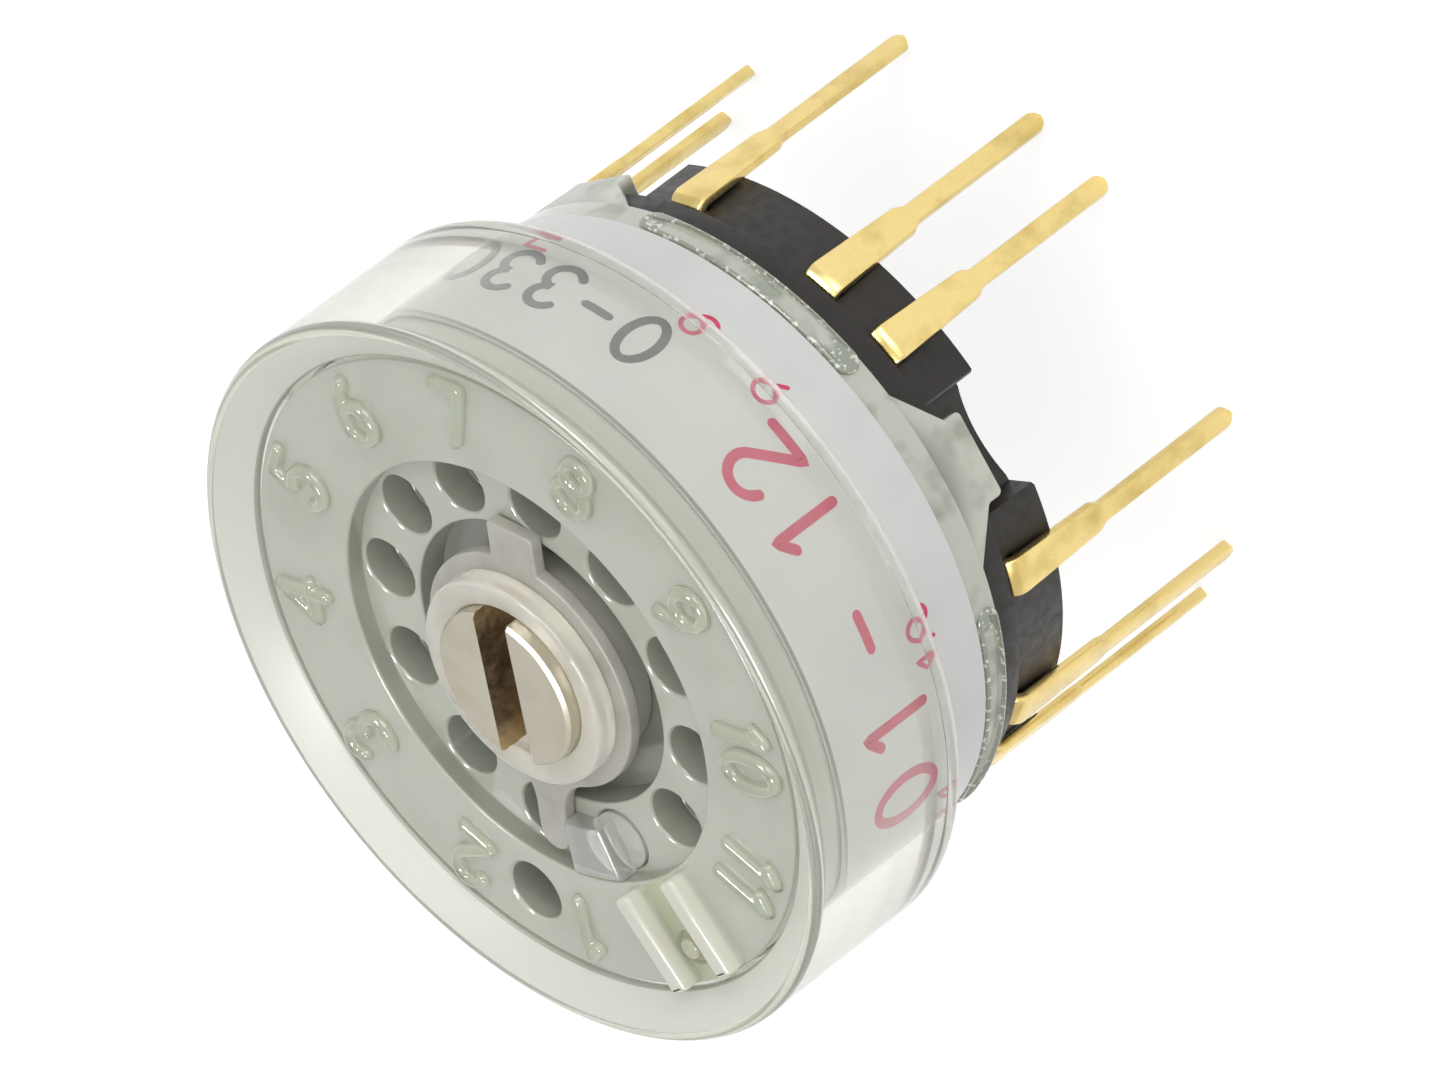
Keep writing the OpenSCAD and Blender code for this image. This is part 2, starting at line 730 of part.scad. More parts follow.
// Stop pin: a round shank in one stop hole, with a head set off to the arm's side
module stop_pin() {
    shank_z = floor_z - stop_hole_depth + push_gap;
    top_z = floor_z + pin_head_h;
    c = pin_head_chamfer;
    color([0.88, 0.9, 0.86, 0.6]) {
        rotate([0, 0, step_angle * stop_pin_step])
            translate([stop_circle_d / 2, 0, shank_z])
                cylinder(d = stop_hole_d - 2 * push_gap, h = floor_z - shank_z);
        rotate([0, 0, head_angle - head_half_angle])
            rotate_extrude(angle = 2 * head_half_angle)
                polygon([
                    [pin_head_r_in, floor_z],
                    [pin_head_r_out, floor_z],
                    [pin_head_r_out, top_z - c],
                    [pin_head_r_out - c, top_z],
                    [pin_head_r_in + c, top_z],
                    [pin_head_r_in, top_z - c]
                ]);
    }
}

// Shaft: slotted front end, round seal seat, two drive flats and a lower pivot
module shaft() {
    pivot_z = deck_z - pivot_bore_depth + turning_gap;
    color([0.75, 0.72, 0.66])
        difference() {
            rotate_extrude()
                polygon([
                    [0, pivot_z],
                    [pivot_d / 2, pivot_z],
                    [pivot_d / 2, shaft_step_z],
                    [shaft_r, shaft_step_z],
                    [shaft_r, shaft_top_z - shaft_chamfer],
                    [shaft_r - shaft_chamfer, shaft_top_z],
                    [0, shaft_top_z]
                ]);
            rotate([0, 0, slot_angle])
                translate([-shaft_d / 2 - cut, -slot_w / 2, shaft_top_z - slot_depth])
                    cube([shaft_d + 2 * cut, slot_w, slot_depth + cut]);
            rotate([0, 0, rest_angle])
                for (side = [0, 1])
                    mirror([0, side, 0])
                        translate([-shaft_d / 2, shaft_flats / 2, shaft_step_z - cut])
                            cube([shaft_d, shaft_d, rotor_top_z - shaft_step_z + cut]);
        }
}

// Collar: whitish ring on the shaft that holds the stop plate down
module shaft_collar() {
    r_in = shaft_r + push_gap;
    r_out = collar_d / 2;
    h = collar_h - push_gap;
    color([0.88, 0.89, 0.86])
        translate([0, 0, plate_top_z + push_gap])
            rotate_extrude() {
                translate([r_in, 0]) square([r_out - r_in, h - collar_round]);
                translate([r_in + collar_round, 0])
                    square([r_out - r_in - 2 * collar_round, h]);
                for (x = [r_in + collar_round, r_out - collar_round])
                    translate([x, h - collar_round]) circle(r = collar_round);
            }
}

// Stop arm with a fillet on each side where it leaves the disc
module filleted_arm_plan() {
    half = arm_w / 2;
    disc_r = stop_disc_d / 2;
    fillet_y = half + arm_fillet;
    fillet_x = sqrt(pow(disc_r + arm_fillet, 2) - pow(fillet_y, 2));
    translate([0, -half]) square([arm_r - half, arm_w]);
    translate([arm_r - half, 0]) circle(r = half);
    for (side = [0, 1])
        mirror([0, side])
            difference() {
                polygon([[0, 0], [fillet_x, 0], [fillet_x, half], [fillet_x, fillet_y]]);
                translate([fillet_x, fillet_y]) circle(r = arm_fillet);
            }
}

// Stop plate: disc, sleeve, stop arm and the tab opposite
module stop_plate() {
    color([0.71, 0.7, 0.67])
        difference() {
            union() {
                translate([0, 0, plate_z])
                    linear_extrude(stop_plate_t) {
                        circle(d = stop_disc_d);
                        rotate(arm_angle) filleted_arm_plan();
                        rotate(arm_angle + 180)
                            translate([0, -tab_w / 2]) square([tab_r, tab_w]);
                    }
                translate([0, 0, well_z + turning_gap])
                    cylinder(d = collar_d, h = plate_z - well_z);
            }
            cylinder(r = shaft_r + push_gap, h = rim_z);
        }
}

// Rotor: drives the wiper and carries the two sprung balls
module rotor() {
    color([0.55, 0.53, 0.5])
        difference() {
            union() {
                translate([0, 0, rotor_z]) cylinder(r = rotor_r, h = rotor_top_z - rotor_z);
                translate([0, 0, rotor_z])
                    cylinder(d = rotor_hub_d, h = boss_z - turning_gap - rotor_z);
                for (side = [-1, 1])
                    translate(concat(polar(peg_circle_d / 2, rest_angle + 90 * side),
                                     leaf_z - peg_proud))
                        cylinder(d = peg_d, h = leaf_t + 2 * peg_proud);
            }
            intersection() {
                cylinder(r = shaft_r + push_gap, h = rim_z);
                rotate([0, 0, rest_angle])
                    translate([-shaft_d, -shaft_flats / 2 - push_gap, 0])
                        cube([2 * shaft_d, shaft_flats + 2 * push_gap, rotor_top_z]);
            }
            translate([0, 0, rotor_top_z - push_gap])
                cylinder(r = shaft_r + push_gap, h = rim_z);
            for (side = [0, 180])
                rotate([0, 0, ball_angle + side])
                    translate([spring_bore_r, 0, ball_z])
                        rotate([0, 90, 0]) cylinder(d = ball_d + 2 * push_gap, h = rotor_r);
        }
}

// Contact wiper: leaf on the rotor, one arm to the fixed contacts, three buttons
module contact_wiper() {
    button_h = leaf_z - contact_z - contact_gap;
    color([0.8, 0.62, 0.35]) {
        difference() {
            union() {
                translate([0, 0, leaf_z]) cylinder(d = leaf_d, h = leaf_t);
                for (side = [-1, 1])
                    translate(concat(polar(peg_circle_d / 2, rest_angle + 90 * side), leaf_z))
                        cylinder(d = peg_d + 2 * peg_land, h = leaf_t);
                rotate([0, 0, rest_angle]) {
                    translate([0, -leaf_arm_w / 2, leaf_z])
                        cube([contact_r, leaf_arm_w, leaf_t]);
                    translate([contact_r, 0, leaf_z]) cylinder(d = leaf_arm_w, h = leaf_t);
                }
            }
            translate([0, 0, leaf_z - cut])
                cylinder(r = shaft_r + leaf_play, h = leaf_t + 2 * cut);
            for (side = [-1, 1])
                translate(concat(polar(peg_circle_d / 2, rest_angle + 90 * side), leaf_z - cut))
                    cylinder(d = peg_d + 2 * push_gap, h = leaf_t + 2 * cut);
        }
        translate(concat(polar(contact_r, rest_angle), contact_z + contact_gap))
            cylinder(d = button_d, h = button_h);
        for (k = [1 : button_count - 1])
            translate(concat(polar(common_mid_r, rest_angle + k * 360 / button_count),
                             contact_z + contact_gap))
                cylinder(d = button_d, h = button_h);
    }
}

// Points and faces of a round wire wound along +X
module coil_spring(coil_r, wire_r, length, turns) {
    sides = 8;
    rings_per_turn = 14;
    last = round(turns * rings_per_turn);
    points = [
        for (i = [0 : last], j = [0 : sides - 1])
            let (
                turn = 360 * i / rings_per_turn,
                round_wire = 360 * j / sides,
                r = coil_r + wire_r * cos(round_wire)
            )
            [wire_r + (length - 2 * wire_r) * i / last + wire_r * sin(round_wire),
             r * cos(turn), r * sin(turn)]
    ];
    walls = [
        for (i = [0 : last - 1], j = [0 : sides - 1])
            let (a = i * sides + j, b = i * sides + (j + 1) % sides)
            [a, a + sides, b + sides, b]
    ];
    start_cap = [[for (j = [0 : sides - 1]) j]];
    end_cap = [[for (j = [sides - 1 : -1 : 0]) last * sides + j]];
    polyhedron(points, concat(walls, start_cap, end_cap));
}

module detent_spring(side) {
    coil_r = (ball_d - spring_wire_d) / 2 - push_gap;
    reach = ball_centre_r - sqrt(pow(ball_r, 2) - pow(coil_r - spring_wire_d / 2, 2));
    length = reach - spring_bore_r - 2 * push_gap;
    color([0.6, 0.6, 0.62])
        rotate([0, 0, ball_angle + side])
            translate([spring_bore_r + push_gap, 0, ball_z])
                coil_spring(coil_r, spring_wire_d / 2, length, spring_turns);
}

module detent_ball(side) {
    color([0.7, 0.7, 0.72])
        rotate([0, 0, ball_angle + side])
            translate([ball_centre_r, 0, ball_z]) sphere(d = ball_d);
}

outer_ring();
dial_case();
label_band();
case_gasket();
shaft_seal();
detent_ring();
terminal_base();
terminal(1);  // terminal_01
terminal(2);  // terminal_02
terminal(3);  // terminal_03
terminal(4);  // terminal_04
terminal(5);  // terminal_05
terminal(6);  // terminal_06
terminal(7);  // terminal_07
terminal(8);  // terminal_08
terminal(9);  // terminal_09
terminal(10);  // terminal_10
terminal(11);  // terminal_11
terminal(12);  // terminal_12
common_terminal();
rear_seal();
stop_pin();
shaft();
shaft_collar();
stop_plate();
rotor();
contact_wiper();
detent_spring(0);  // detent_spring_a
detent_spring(180);  // detent_spring_b
detent_ball(0);  // detent_ball_a
detent_ball(180);  // detent_ball_b
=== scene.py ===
# %% [markdown]
# # A small clear rotary switch
#
# The real object is a sealed switch for a circuit board, about 17 mm across. A clear moulded
# cup carries a dial with raised figures, a thick clear ring slides over a printed film that is
# wrapped round the cup, and thirteen gold-plated pins leave a black base. The lesson builds
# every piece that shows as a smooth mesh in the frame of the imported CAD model. Sizes are
# written in millimetres and turned into metres where a mesh is made.

# %% Load the frame
import math

import bmesh
import bpy
from mathutils import Matrix, Vector


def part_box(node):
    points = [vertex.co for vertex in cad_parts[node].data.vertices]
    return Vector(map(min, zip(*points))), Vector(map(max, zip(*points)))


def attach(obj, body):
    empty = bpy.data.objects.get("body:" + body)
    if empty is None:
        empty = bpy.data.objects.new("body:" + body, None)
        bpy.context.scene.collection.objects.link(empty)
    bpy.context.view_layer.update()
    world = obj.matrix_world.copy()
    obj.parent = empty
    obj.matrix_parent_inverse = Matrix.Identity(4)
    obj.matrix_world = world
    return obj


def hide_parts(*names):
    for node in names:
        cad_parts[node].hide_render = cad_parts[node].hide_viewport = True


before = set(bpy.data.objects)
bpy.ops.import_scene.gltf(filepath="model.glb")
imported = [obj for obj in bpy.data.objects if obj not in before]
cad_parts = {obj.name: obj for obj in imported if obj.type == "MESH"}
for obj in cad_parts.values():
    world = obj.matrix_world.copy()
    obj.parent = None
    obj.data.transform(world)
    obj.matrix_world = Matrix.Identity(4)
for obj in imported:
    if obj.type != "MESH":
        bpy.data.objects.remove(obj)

MM = 0.001
scene = bpy.context.scene
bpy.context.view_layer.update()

# %% [markdown]
# ## Sizes shared with the solids
#
# The heights run along the switch from the base's rear face, and the radii from its axis. They
# are the same as in the solid model, so each mesh lands where its solid is.

# %% Heights, radii and angles
REAR_Z, LAND_Z, CASE_Z, DECK_Z = 0.0, 1.52, 2.19, 2.70
RING_Z, KEY_Z, BOSS_Z, CAVITY_Z = 4.69, 5.38, 6.00, 6.90
HOLE_Z, WELL_Z, FLOOR_Z, DIAL_Z, RIM_Z = 7.19, 7.27, 7.99, 8.45, 8.98
PIN_TIP_Z, SHAFT_TIP_Z = -5.15, 9.10
CASE_R, SKIRT_IN_R, RING_IN, RING_OUT = 7.35, 6.74, 7.45, 8.45
RECESS_R, WELL_R, BEARING_R = 4.95, 3.33, 1.84
FLANGE_R, LAND_R, SPIGOT_R, NOTCH_R, BASE_BORE_R = 7.14, 6.96, 6.38, 6.10, 0.85
SHAFT_R, SLEEVE_IN, SLEEVE_OUT = 1.80, 1.82, 2.41
STOP_CIRCLE_R, HOLE_R, FIGURE_R = 4.19, 0.68, 6.34
SPARE_HOLE_R, SPARE_ANGLE, GATE = 6.10, 45.0, (0.3, 6.55)
LUG_R, KEY_WIDTH, KEY_R = 7.10, 0.84, 6.72
STEP = 30.0
QUARTER_TURNS = [90 * k for k in range(4)]
LUG_ANGLES = [82.5 + turn for turn in QUARTER_TURNS]
RIB_ANGLES = [127.5 + turn for turn in QUARTER_TURNS]
REST_ANGLE, SLOT_ANGLE, ARM_ANGLE = 60.0, 56.0, 52.0


def position_angle(n):
    """Angle of switch position n: the figures read clockwise from twelve o'clock."""
    return 90 - STEP * n


def pin_angle(n):
    """Every third pin is moved by 15 degrees, clear of a lug."""
    return position_angle(n) + (15 if n % 3 == 0 else 0)


def polar(radius, angle):
    """The point at this distance from the axis and this angle in degrees."""
    a = math.radians(angle)
    return radius * math.cos(a), radius * math.sin(a)


print("pins at", [pin_angle(n) % 360 for n in range(1, 13)])

# %% [markdown]
# ## Small tools for meshes
#
# Moulded and turned parts are outlines that are spun round an axis or lifted to a thickness,
# always with a small radius on every edge, because the light that such an edge catches is what
# makes a part look real. `round_corners` puts those radii into an outline, `lathe` spins it and
# `slab` lifts it.

# %% Outlines with rounded corners
def round_corners(corners, steps=5):
    """Points of a closed outline whose corners are (x, y, radius)."""
    points = []
    count = len(corners)
    for i, (x, y, radius) in enumerate(corners):
        here = Vector((x, y))
        if radius <= 0:
            points.append((x, y))
            continue
        before = (Vector(corners[i - 1][:2]) - here).normalized()
        after = (Vector(corners[(i + 1) % count][:2]) - here).normalized()
        half = before.angle(after) / 2
        reach = radius / math.tan(half)
        centre = here + (before + after).normalized() * radius / math.sin(half)
        start = here + before * reach - centre
        end = here + after * reach - centre
        turn = start.angle_signed(end)
        for k in range(steps + 1):
            a = -turn * k / steps
            points.append((centre.x + start.x * math.cos(a) - start.y * math.sin(a),
                           centre.y + start.x * math.sin(a) + start.y * math.cos(a)))
    return points


def arc(cx, cy, rx, ry, start, end, steps=14):
    """Points on part of an ellipse, from one angle to another in degrees."""
    angles = [math.radians(start + (end - start) * k / steps) for k in range(steps + 1)]
    return [(cx + rx * math.cos(a), cy + ry * math.sin(a)) for a in angles]


print("a square with round corners has", len(round_corners(
    [(0, 0, 0.2), (1, 0, 0.2), (1, 1, 0.2), (0, 1, 0.2)])), "points")

# %% [markdown]
# Blender builds a mesh from a list of points and a list of faces. Every helper below ends in
# `new_piece`, which merges the doubles and turns all faces outwards, so no form that is spun or
# mirrored can come out inside out. A spun form, a lifted one and a swept one are all rings of
# points with faces between them, so one `skin` serves them all.

# %% Meshes from points
def new_piece(name, points, faces):
    """An object whose mesh has these points in millimetres, with its normals outwards."""
    mesh = bpy.data.meshes.new(name)
    mesh.from_pydata([(x * MM, y * MM, z * MM) for x, y, z in points], [], faces)
    piece = bpy.data.objects.new(name, mesh)
    scene.collection.objects.link(piece)
    bm = bmesh.new()
    bm.from_mesh(mesh)
    bmesh.ops.remove_doubles(bm, verts=bm.verts, dist=1e-4 * MM)
    bmesh.ops.recalc_face_normals(bm, faces=bm.faces)
    bm.to_mesh(mesh)
    bm.free()
    return piece


def skin(name, rings, closed=False):
    """A piece skinned over rings of points, with a cap at each end unless it is closed."""
    count, total = len(rings[0]), len(rings)
    faces = []
    for i in range(total if closed else total - 1):
        a, b = i * count, ((i + 1) % total) * count
        faces += [(a + j, a + (j + 1) % count, b + (j + 1) % count, b + j) for j in range(count)]
    if not closed:
        faces += [tuple(reversed(range(count))), tuple(range((total - 1) * count, total * count))]
    return new_piece(name, [point for ring in rings for point in ring], faces)


def lathe(name, outline, steps=192, start=0.0, turn=360.0, centre=(0.0, 0.0)):
    """Spins a closed outline of (radius, height) points round an upright axis."""
    closed = turn >= 360
    rings = []
    for i in range(steps if closed else steps + 1):
        a = math.radians(start + turn * i / steps)
        rings.append([(centre[0] + r * math.cos(a), centre[1] + r * math.sin(a), z)
                      for r, z in outline])
    return skin(name, rings, closed)


def drum(name, radius, z0, z1, steps=128):
    """A plain cylinder on the switch's axis."""
    return lathe(name, [(0.0, z0), (radius, z0), (radius, z1), (0.0, z1)], steps)


def inset(outline, distance):
    """The outline moved inwards, for a rounded edge. The outline runs anticlockwise."""
    moved = []
    count = len(outline)
    for i, point in enumerate(outline):
        here = Vector(point)
        before = (here - Vector(outline[i - 1])).normalized()
        after = (Vector(outline[(i + 1) % count]) - here).normalized()
        along = (before + after).normalized()
        stretch = 1 / max(0.4, along.dot(after))
        moved.append((here.x - along.y * distance * stretch, here.y + along.x * distance * stretch))
    return moved


def slab(name, outline, z0, z1, top=0.0, bottom=0.0, place=None, steps=4):
    """Lifts an outline from z0 to z1 with rounded edges. place maps (x, y, height) to a point."""
    place = place or (lambda x, y, h: (x, y, h))
    quarter = [math.pi / 2 * k / steps for k in range(steps + 1)]
    levels = [(bottom * (1 - math.sin(a)), z0 + bottom * (1 - math.cos(a)))
              for a in (quarter if bottom else [0.0])]
    levels += [(top * (1 - math.cos(a)), z1 - top * (1 - math.sin(a)))
               for a in (quarter if top else [0.0])]
    rings = []
    for distance, height in levels:
        loop = inset(outline, distance) if distance else outline
        rings.append([place(x, y, height) for x, y in loop])
    return skin(name, rings)


def turn_to(piece, angle):
    """Turns a piece's mesh round the switch's axis by this many degrees."""
    piece.data.transform(Matrix.Rotation(math.radians(angle), 4, "Z"))
    return piece


def box(name, x0, x1, y0, y1, z0, z1):
    """A plain block, for cutting."""
    return slab(name, [(x0, y0), (x1, y0), (x1, y1), (x0, y1)], z0, z1)


def on_case(angle, radius=CASE_R):
    """A place for slab: x runs round the switch from this angle, y is the height."""
    def place(x, y, height):
        a = math.radians(angle) + x / radius
        return height * math.cos(a), height * math.sin(a), y
    return place


# %% [markdown]
# Holes and ribs are cut and joined with Boolean modifiers, which stay exact on curved walls. A
# modifier is only a recipe, so `bake` keeps its result as a plain mesh. `dress` is the last step
# of every piece: soft edges, smooth shading, a finish, and the body that carries it.

# %% Baking modifiers, cutting and joining
def bake(piece):
    """Turns what the modifiers make into the piece's own plain mesh."""
    bpy.context.view_layer.update()
    graph = bpy.context.evaluated_depsgraph_get()
    mesh = bpy.data.meshes.new_from_object(piece.evaluated_get(graph))
    piece.modifiers.clear()
    old, piece.data = piece.data, mesh
    mesh.name = piece.name
    bpy.data.meshes.remove(old)
    return piece


def combine(piece, others, operation):
    """Joins the others to a piece, or cuts them out of it, and deletes them."""
    for other in others:
        modifier = piece.modifiers.new("cut", "BOOLEAN")
        modifier.operation = operation
        modifier.solver = "EXACT"
        modifier.object = other
    bake(piece)
    for other in others:
        bpy.data.objects.remove(other)
    return piece


def merge(name, parts):
    """One object from several that do not need a true union."""
    bm = bmesh.new()
    for part in parts:
        bm.from_mesh(part.data)
        bpy.data.objects.remove(part)
    mesh = bpy.data.meshes.new(name)
    bm.to_mesh(mesh)
    bm.free()
    piece = bpy.data.objects.new(name, mesh)
    scene.collection.objects.link(piece)
    return piece


def dress(piece, material, body, nodes=(), edge=0.0, sharp=30):
    """Finishes a piece: an edge radius, smooth shading, its material and its body."""
    if edge:
        bevel = piece.modifiers.new("edges", "BEVEL")
        bevel.width = edge * MM
        bevel.segments = 2
        bevel.limit_method = "ANGLE"
        bevel.angle_limit = math.radians(40)
        bake(piece)
    piece.data.polygons.foreach_set("use_smooth", [True] * len(piece.data.polygons))
    piece.data.set_sharp_from_angle(angle=math.radians(sharp))
    weighted = piece.modifiers.new("weighted normals", "WEIGHTED_NORMAL")
    weighted.keep_sharp = True
    bake(piece)
    piece.data.materials.clear()
    piece.data.materials.append(material)
    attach(piece, body)
    if nodes:
        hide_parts(*nodes)
    piece.data.calc_loop_triangles()
    print(f"{piece.name}: {len(piece.data.loop_triangles)} triangles")
    return piece


# %% [markdown]
# ## Finishes
#
# Every finish is a small node tree. The plain numbers sit on the shader itself, and noise in
# Object coordinates adds what keeps a moulded or plated part from looking like a drawing: a
# slight unevenness of the gloss and a very shallow waviness. Colours are written as the eye
# names them, in sRGB, and turned to linear light by one function.

# %% Colours and nodes
def linear(colour):
    """Linear light of a colour written as sRGB hex."""
    parts = [int(colour[i:i + 2], 16) / 255 for i in (1, 3, 5)]
    return [p / 12.92 if p <= 0.04045 else ((p + 0.055) / 1.055) ** 2.4 for p in parts] + [1.0]


def add_node(tree, kind, inputs=None, **settings):
    """A node with its settings. An input is a plain value or another node's output."""
    node = tree.nodes.new(kind)
    for key, value in settings.items():
        setattr(node, key, value)
    for key, value in (inputs or {}).items():
        if isinstance(value, bpy.types.NodeSocket):
            tree.links.new(value, node.inputs[key])
        else:
            node.inputs[key].default_value = value
    return node


def emptied_tree(holder):
    """The node tree of a material or a world, without its first nodes."""
    holder.use_nodes = True
    holder.node_tree.nodes.clear()
    return holder.node_tree


def place_of(material):
    """The Object coordinates that all patterns of a finish share."""
    return next(n for n in material.node_tree.nodes if n.type == "TEX_COORD").outputs["Object"]


def surface_of(material):
    """The shader of a finish."""
    return next(n for n in material.node_tree.nodes if n.type == "BSDF_PRINCIPLED")


def finish(name, colour, roughness, spread, grain_mm, waviness=0.0, wave_mm=3.0, **shader):
    """A moulded, plated or cast finish: gloss that varies with a grain, and a soft waviness."""
    material = bpy.data.materials.new(name)
    tree = emptied_tree(material)
    place = add_node(tree, "ShaderNodeTexCoord").outputs["Object"]
    grain = add_node(tree, "ShaderNodeTexNoise",
                     {"Vector": place, "Scale": 1 / (grain_mm * MM), "Detail": 3.0})
    gloss = add_node(tree, "ShaderNodeMapRange",
                     {"Value": grain.outputs["Fac"], "From Min": 0.3, "From Max": 0.7,
                      "To Min": roughness - spread, "To Max": roughness + spread})
    inputs = {"Base Color": linear(colour), "Roughness": gloss.outputs["Result"]}
    if waviness:
        wave = add_node(tree, "ShaderNodeTexNoise",
                        {"Vector": place, "Scale": 1 / (wave_mm * MM), "Detail": 1.0})
        bump = add_node(tree, "ShaderNodeBump",
                        {"Height": wave.outputs["Fac"], "Strength": 1.0,
                         "Distance": waviness * MM})
        inputs["Normal"] = bump.outputs["Normal"]
    for key, value in shader.items():
        inputs[key.replace("_", " ")] = value
    surface = add_node(tree, "ShaderNodeBsdfPrincipled", inputs)
    add_node(tree, "ShaderNodeOutputMaterial", {"Surface": surface.outputs["BSDF"]})
    return material


print("mid grey #808080 is", round(linear("#808080")[0], 3), "in linear light")

# %% [markdown]
# One finish is rarely the same all over a moulding. A share is an output between 0 and 1 that
# says where something holds: above a height, within a radius, on upright walls or in patches.
# `shift` moves inputs of the shader by such a share, so colour follows the form without any
# painted picture.

# %% Finishes that change over a form
def share_along(material, low_mm, high_mm, axis="Z"):
    """A share that grows from 0 at one place on an axis to 1 at another."""
    tree = material.node_tree
    parts = add_node(tree, "ShaderNodeSeparateXYZ", {"Vector": place_of(material)})
    share = add_node(tree, "ShaderNodeMapRange",
                     {"Value": parts.outputs[axis], "From Min": low_mm * MM,
                      "From Max": high_mm * MM}, interpolation_type="SMOOTHSTEP")
    return share.outputs["Result"]


def share_by_radius(material, low_mm, high_mm):
    """A share that grows from 0 at one distance from the axis to 1 at another."""
    tree = material.node_tree
    flat = add_node(tree, "ShaderNodeVectorMath", {0: place_of(material), 1: (1.0, 1.0, 0.0)},
                    operation="MULTIPLY")
    radius = add_node(tree, "ShaderNodeVectorMath", {0: flat.outputs["Vector"]},
                      operation="LENGTH")
    share = add_node(tree, "ShaderNodeMapRange",
                     {"Value": radius.outputs["Value"], "From Min": low_mm * MM,
                      "From Max": high_mm * MM}, interpolation_type="SMOOTHSTEP")
    return share.outputs["Result"]


def share_of_walls(material, walls=1.0, level=0.0):
    """A share that is 1 on upright faces and 0 on level ones, or the other way round."""
    tree = material.node_tree
    normal = add_node(tree, "ShaderNodeNewGeometry").outputs["Normal"]
    parts = add_node(tree, "ShaderNodeSeparateXYZ", {"Vector": normal})
    slope = add_node(tree, "ShaderNodeMath", {0: parts.outputs["Z"]}, operation="ABSOLUTE")
    share = add_node(tree, "ShaderNodeMapRange",
                     {"Value": slope.outputs["Value"], "From Min": 0.25, "From Max": 0.6,
                      "To Min": walls, "To Max": level}, interpolation_type="SMOOTHSTEP")
    return share.outputs["Result"]


def share_of_patches(material, patch_mm, low, high, detail=2.0):
    """A share that is 1 in soft patches of this size and 0 between them."""
    tree = material.node_tree
    patch = add_node(tree, "ShaderNodeTexNoise",
                     {"Vector": place_of(material), "Scale": 1 / (patch_mm * MM),
                      "Detail": detail})
    share = add_node(tree, "ShaderNodeMapRange",
                     {"Value": patch.outputs["Fac"], "From Min": low, "From Max": high})
    return share.outputs["Result"]


def share_of_grazing(material, low, high):
    """A share that is 1 where clear plastic is seen at a flat angle, through its depth."""
    weight = add_node(material.node_tree, "ShaderNodeLayerWeight", {"Blend": 0.5})
    share = add_node(material.node_tree, "ShaderNodeMapRange",
                     {"Value": weight.outputs["Facing"], "From Min": low, "From Max": high})
    return share.outputs["Result"]


def overlap(material, first, *others):
    """The product of some shares: high where all of them are high."""
    for other in others:
        product = add_node(material.node_tree, "ShaderNodeMath", {0: first, 1: other},
                           operation="MULTIPLY")
        first = product.outputs["Value"]
    return first


def shift(material, share, colour=None, **numbers):
    """Moves the colour and other inputs of the shader towards new values by a share."""
    tree = material.node_tree
    changes = [("Base Color", linear(colour), "RGBA", (6, 7, 2))] if colour else []
    changes += [(key.replace("_", " "), value, "FLOAT", (2, 3, 0))
                for key, value in numbers.items()]
    for socket, value, kind, (first, second, result) in changes:
        target = surface_of(material).inputs[socket]
        blend = add_node(tree, "ShaderNodeMix", {"Factor": share, second: value}, data_type=kind)
        if target.is_linked:
            tree.links.new(target.links[0].from_socket, blend.inputs[first])
        else:
            blend.inputs[first].default_value = target.default_value
        tree.links.new(blend.outputs[result], target)
    return material


def stain(material, colour, patch_mm):
    """Lets a second colour show through in soft patches, as age or flow marks do."""
    return shift(material, share_of_patches(material, patch_mm, 0.45, 0.75, 4.0), colour)


# %% [markdown]
# The ring is clear acrylic, polished by the mould. It absorbs a little light on its way
# through, so it looks clear across its wall and creamy along it. Its bevel is left matt and
# milky and its soft rim gathers light. Its rear edge carries a painted highlight, a near-white band,
# and the gap at the dial is painted shade, a dark line.
# Plain glass would give only the outlines, so absorption in the volume gives the depth, and
# shares over the form give the rest.

# %% The clear ring's acrylic
# clear with a hard gloss, and creamy where the eye looks along a wall
clear_ring = finish("acrylic, clear moulded", "#FEFEFD", 0.03, 0.02, 1.5, 0.004, 4.0,
                    Transmission_Weight=0.97, IOR=1.49)
# light loses a little blue on its way through, which gives the cream
depth = add_node(clear_ring.node_tree, "ShaderNodeVolumeAbsorption",
                 {"Color": linear("#9A9A10"), "Density": 60.0})
end = next(n for n in clear_ring.node_tree.nodes if n.type == "OUTPUT_MATERIAL")
clear_ring.node_tree.links.new(depth.outputs["Volume"], end.inputs["Volume"])
bevel_share = overlap(clear_ring, share_along(clear_ring, 8.38, 8.44),
                      share_by_radius(clear_ring, 8.24, 8.16),
                      share_of_walls(clear_ring, 0.0, 1.0))
rim_share = overlap(clear_ring, share_along(clear_ring, 8.74, 8.86),
                    share_by_radius(clear_ring, 8.18, 8.24))
# painted highlight: a near-white, less clear band along the ring's rear edge stands in for the light
# it catches
painted_rear_highlight = overlap(clear_ring, share_along(clear_ring, 4.93, 4.83),
                     share_by_radius(clear_ring, 8.18, 8.26))
# painted shade: the top of the ring's bore, at the gap by the dial, is darkened into a dark line
painted_gap_shade = overlap(clear_ring, share_along(clear_ring, 8.30, 8.36),
                    share_by_radius(clear_ring, 7.51, 7.48))
shift(clear_ring, share_of_grazing(clear_ring, 0.38, 0.86), "#B2B29E")
shift(clear_ring, bevel_share, "#E3E3D9", Roughness=0.32, Transmission_Weight=0.12)
shift(clear_ring, rim_share, "#DCDDD0", Roughness=0.16, Transmission_Weight=0.55)
shift(clear_ring, painted_rear_highlight, "#F4F0EE", Transmission_Weight=0.35)
shift(clear_ring, painted_gap_shade, "#AEB0A2", Transmission_Weight=0.15)
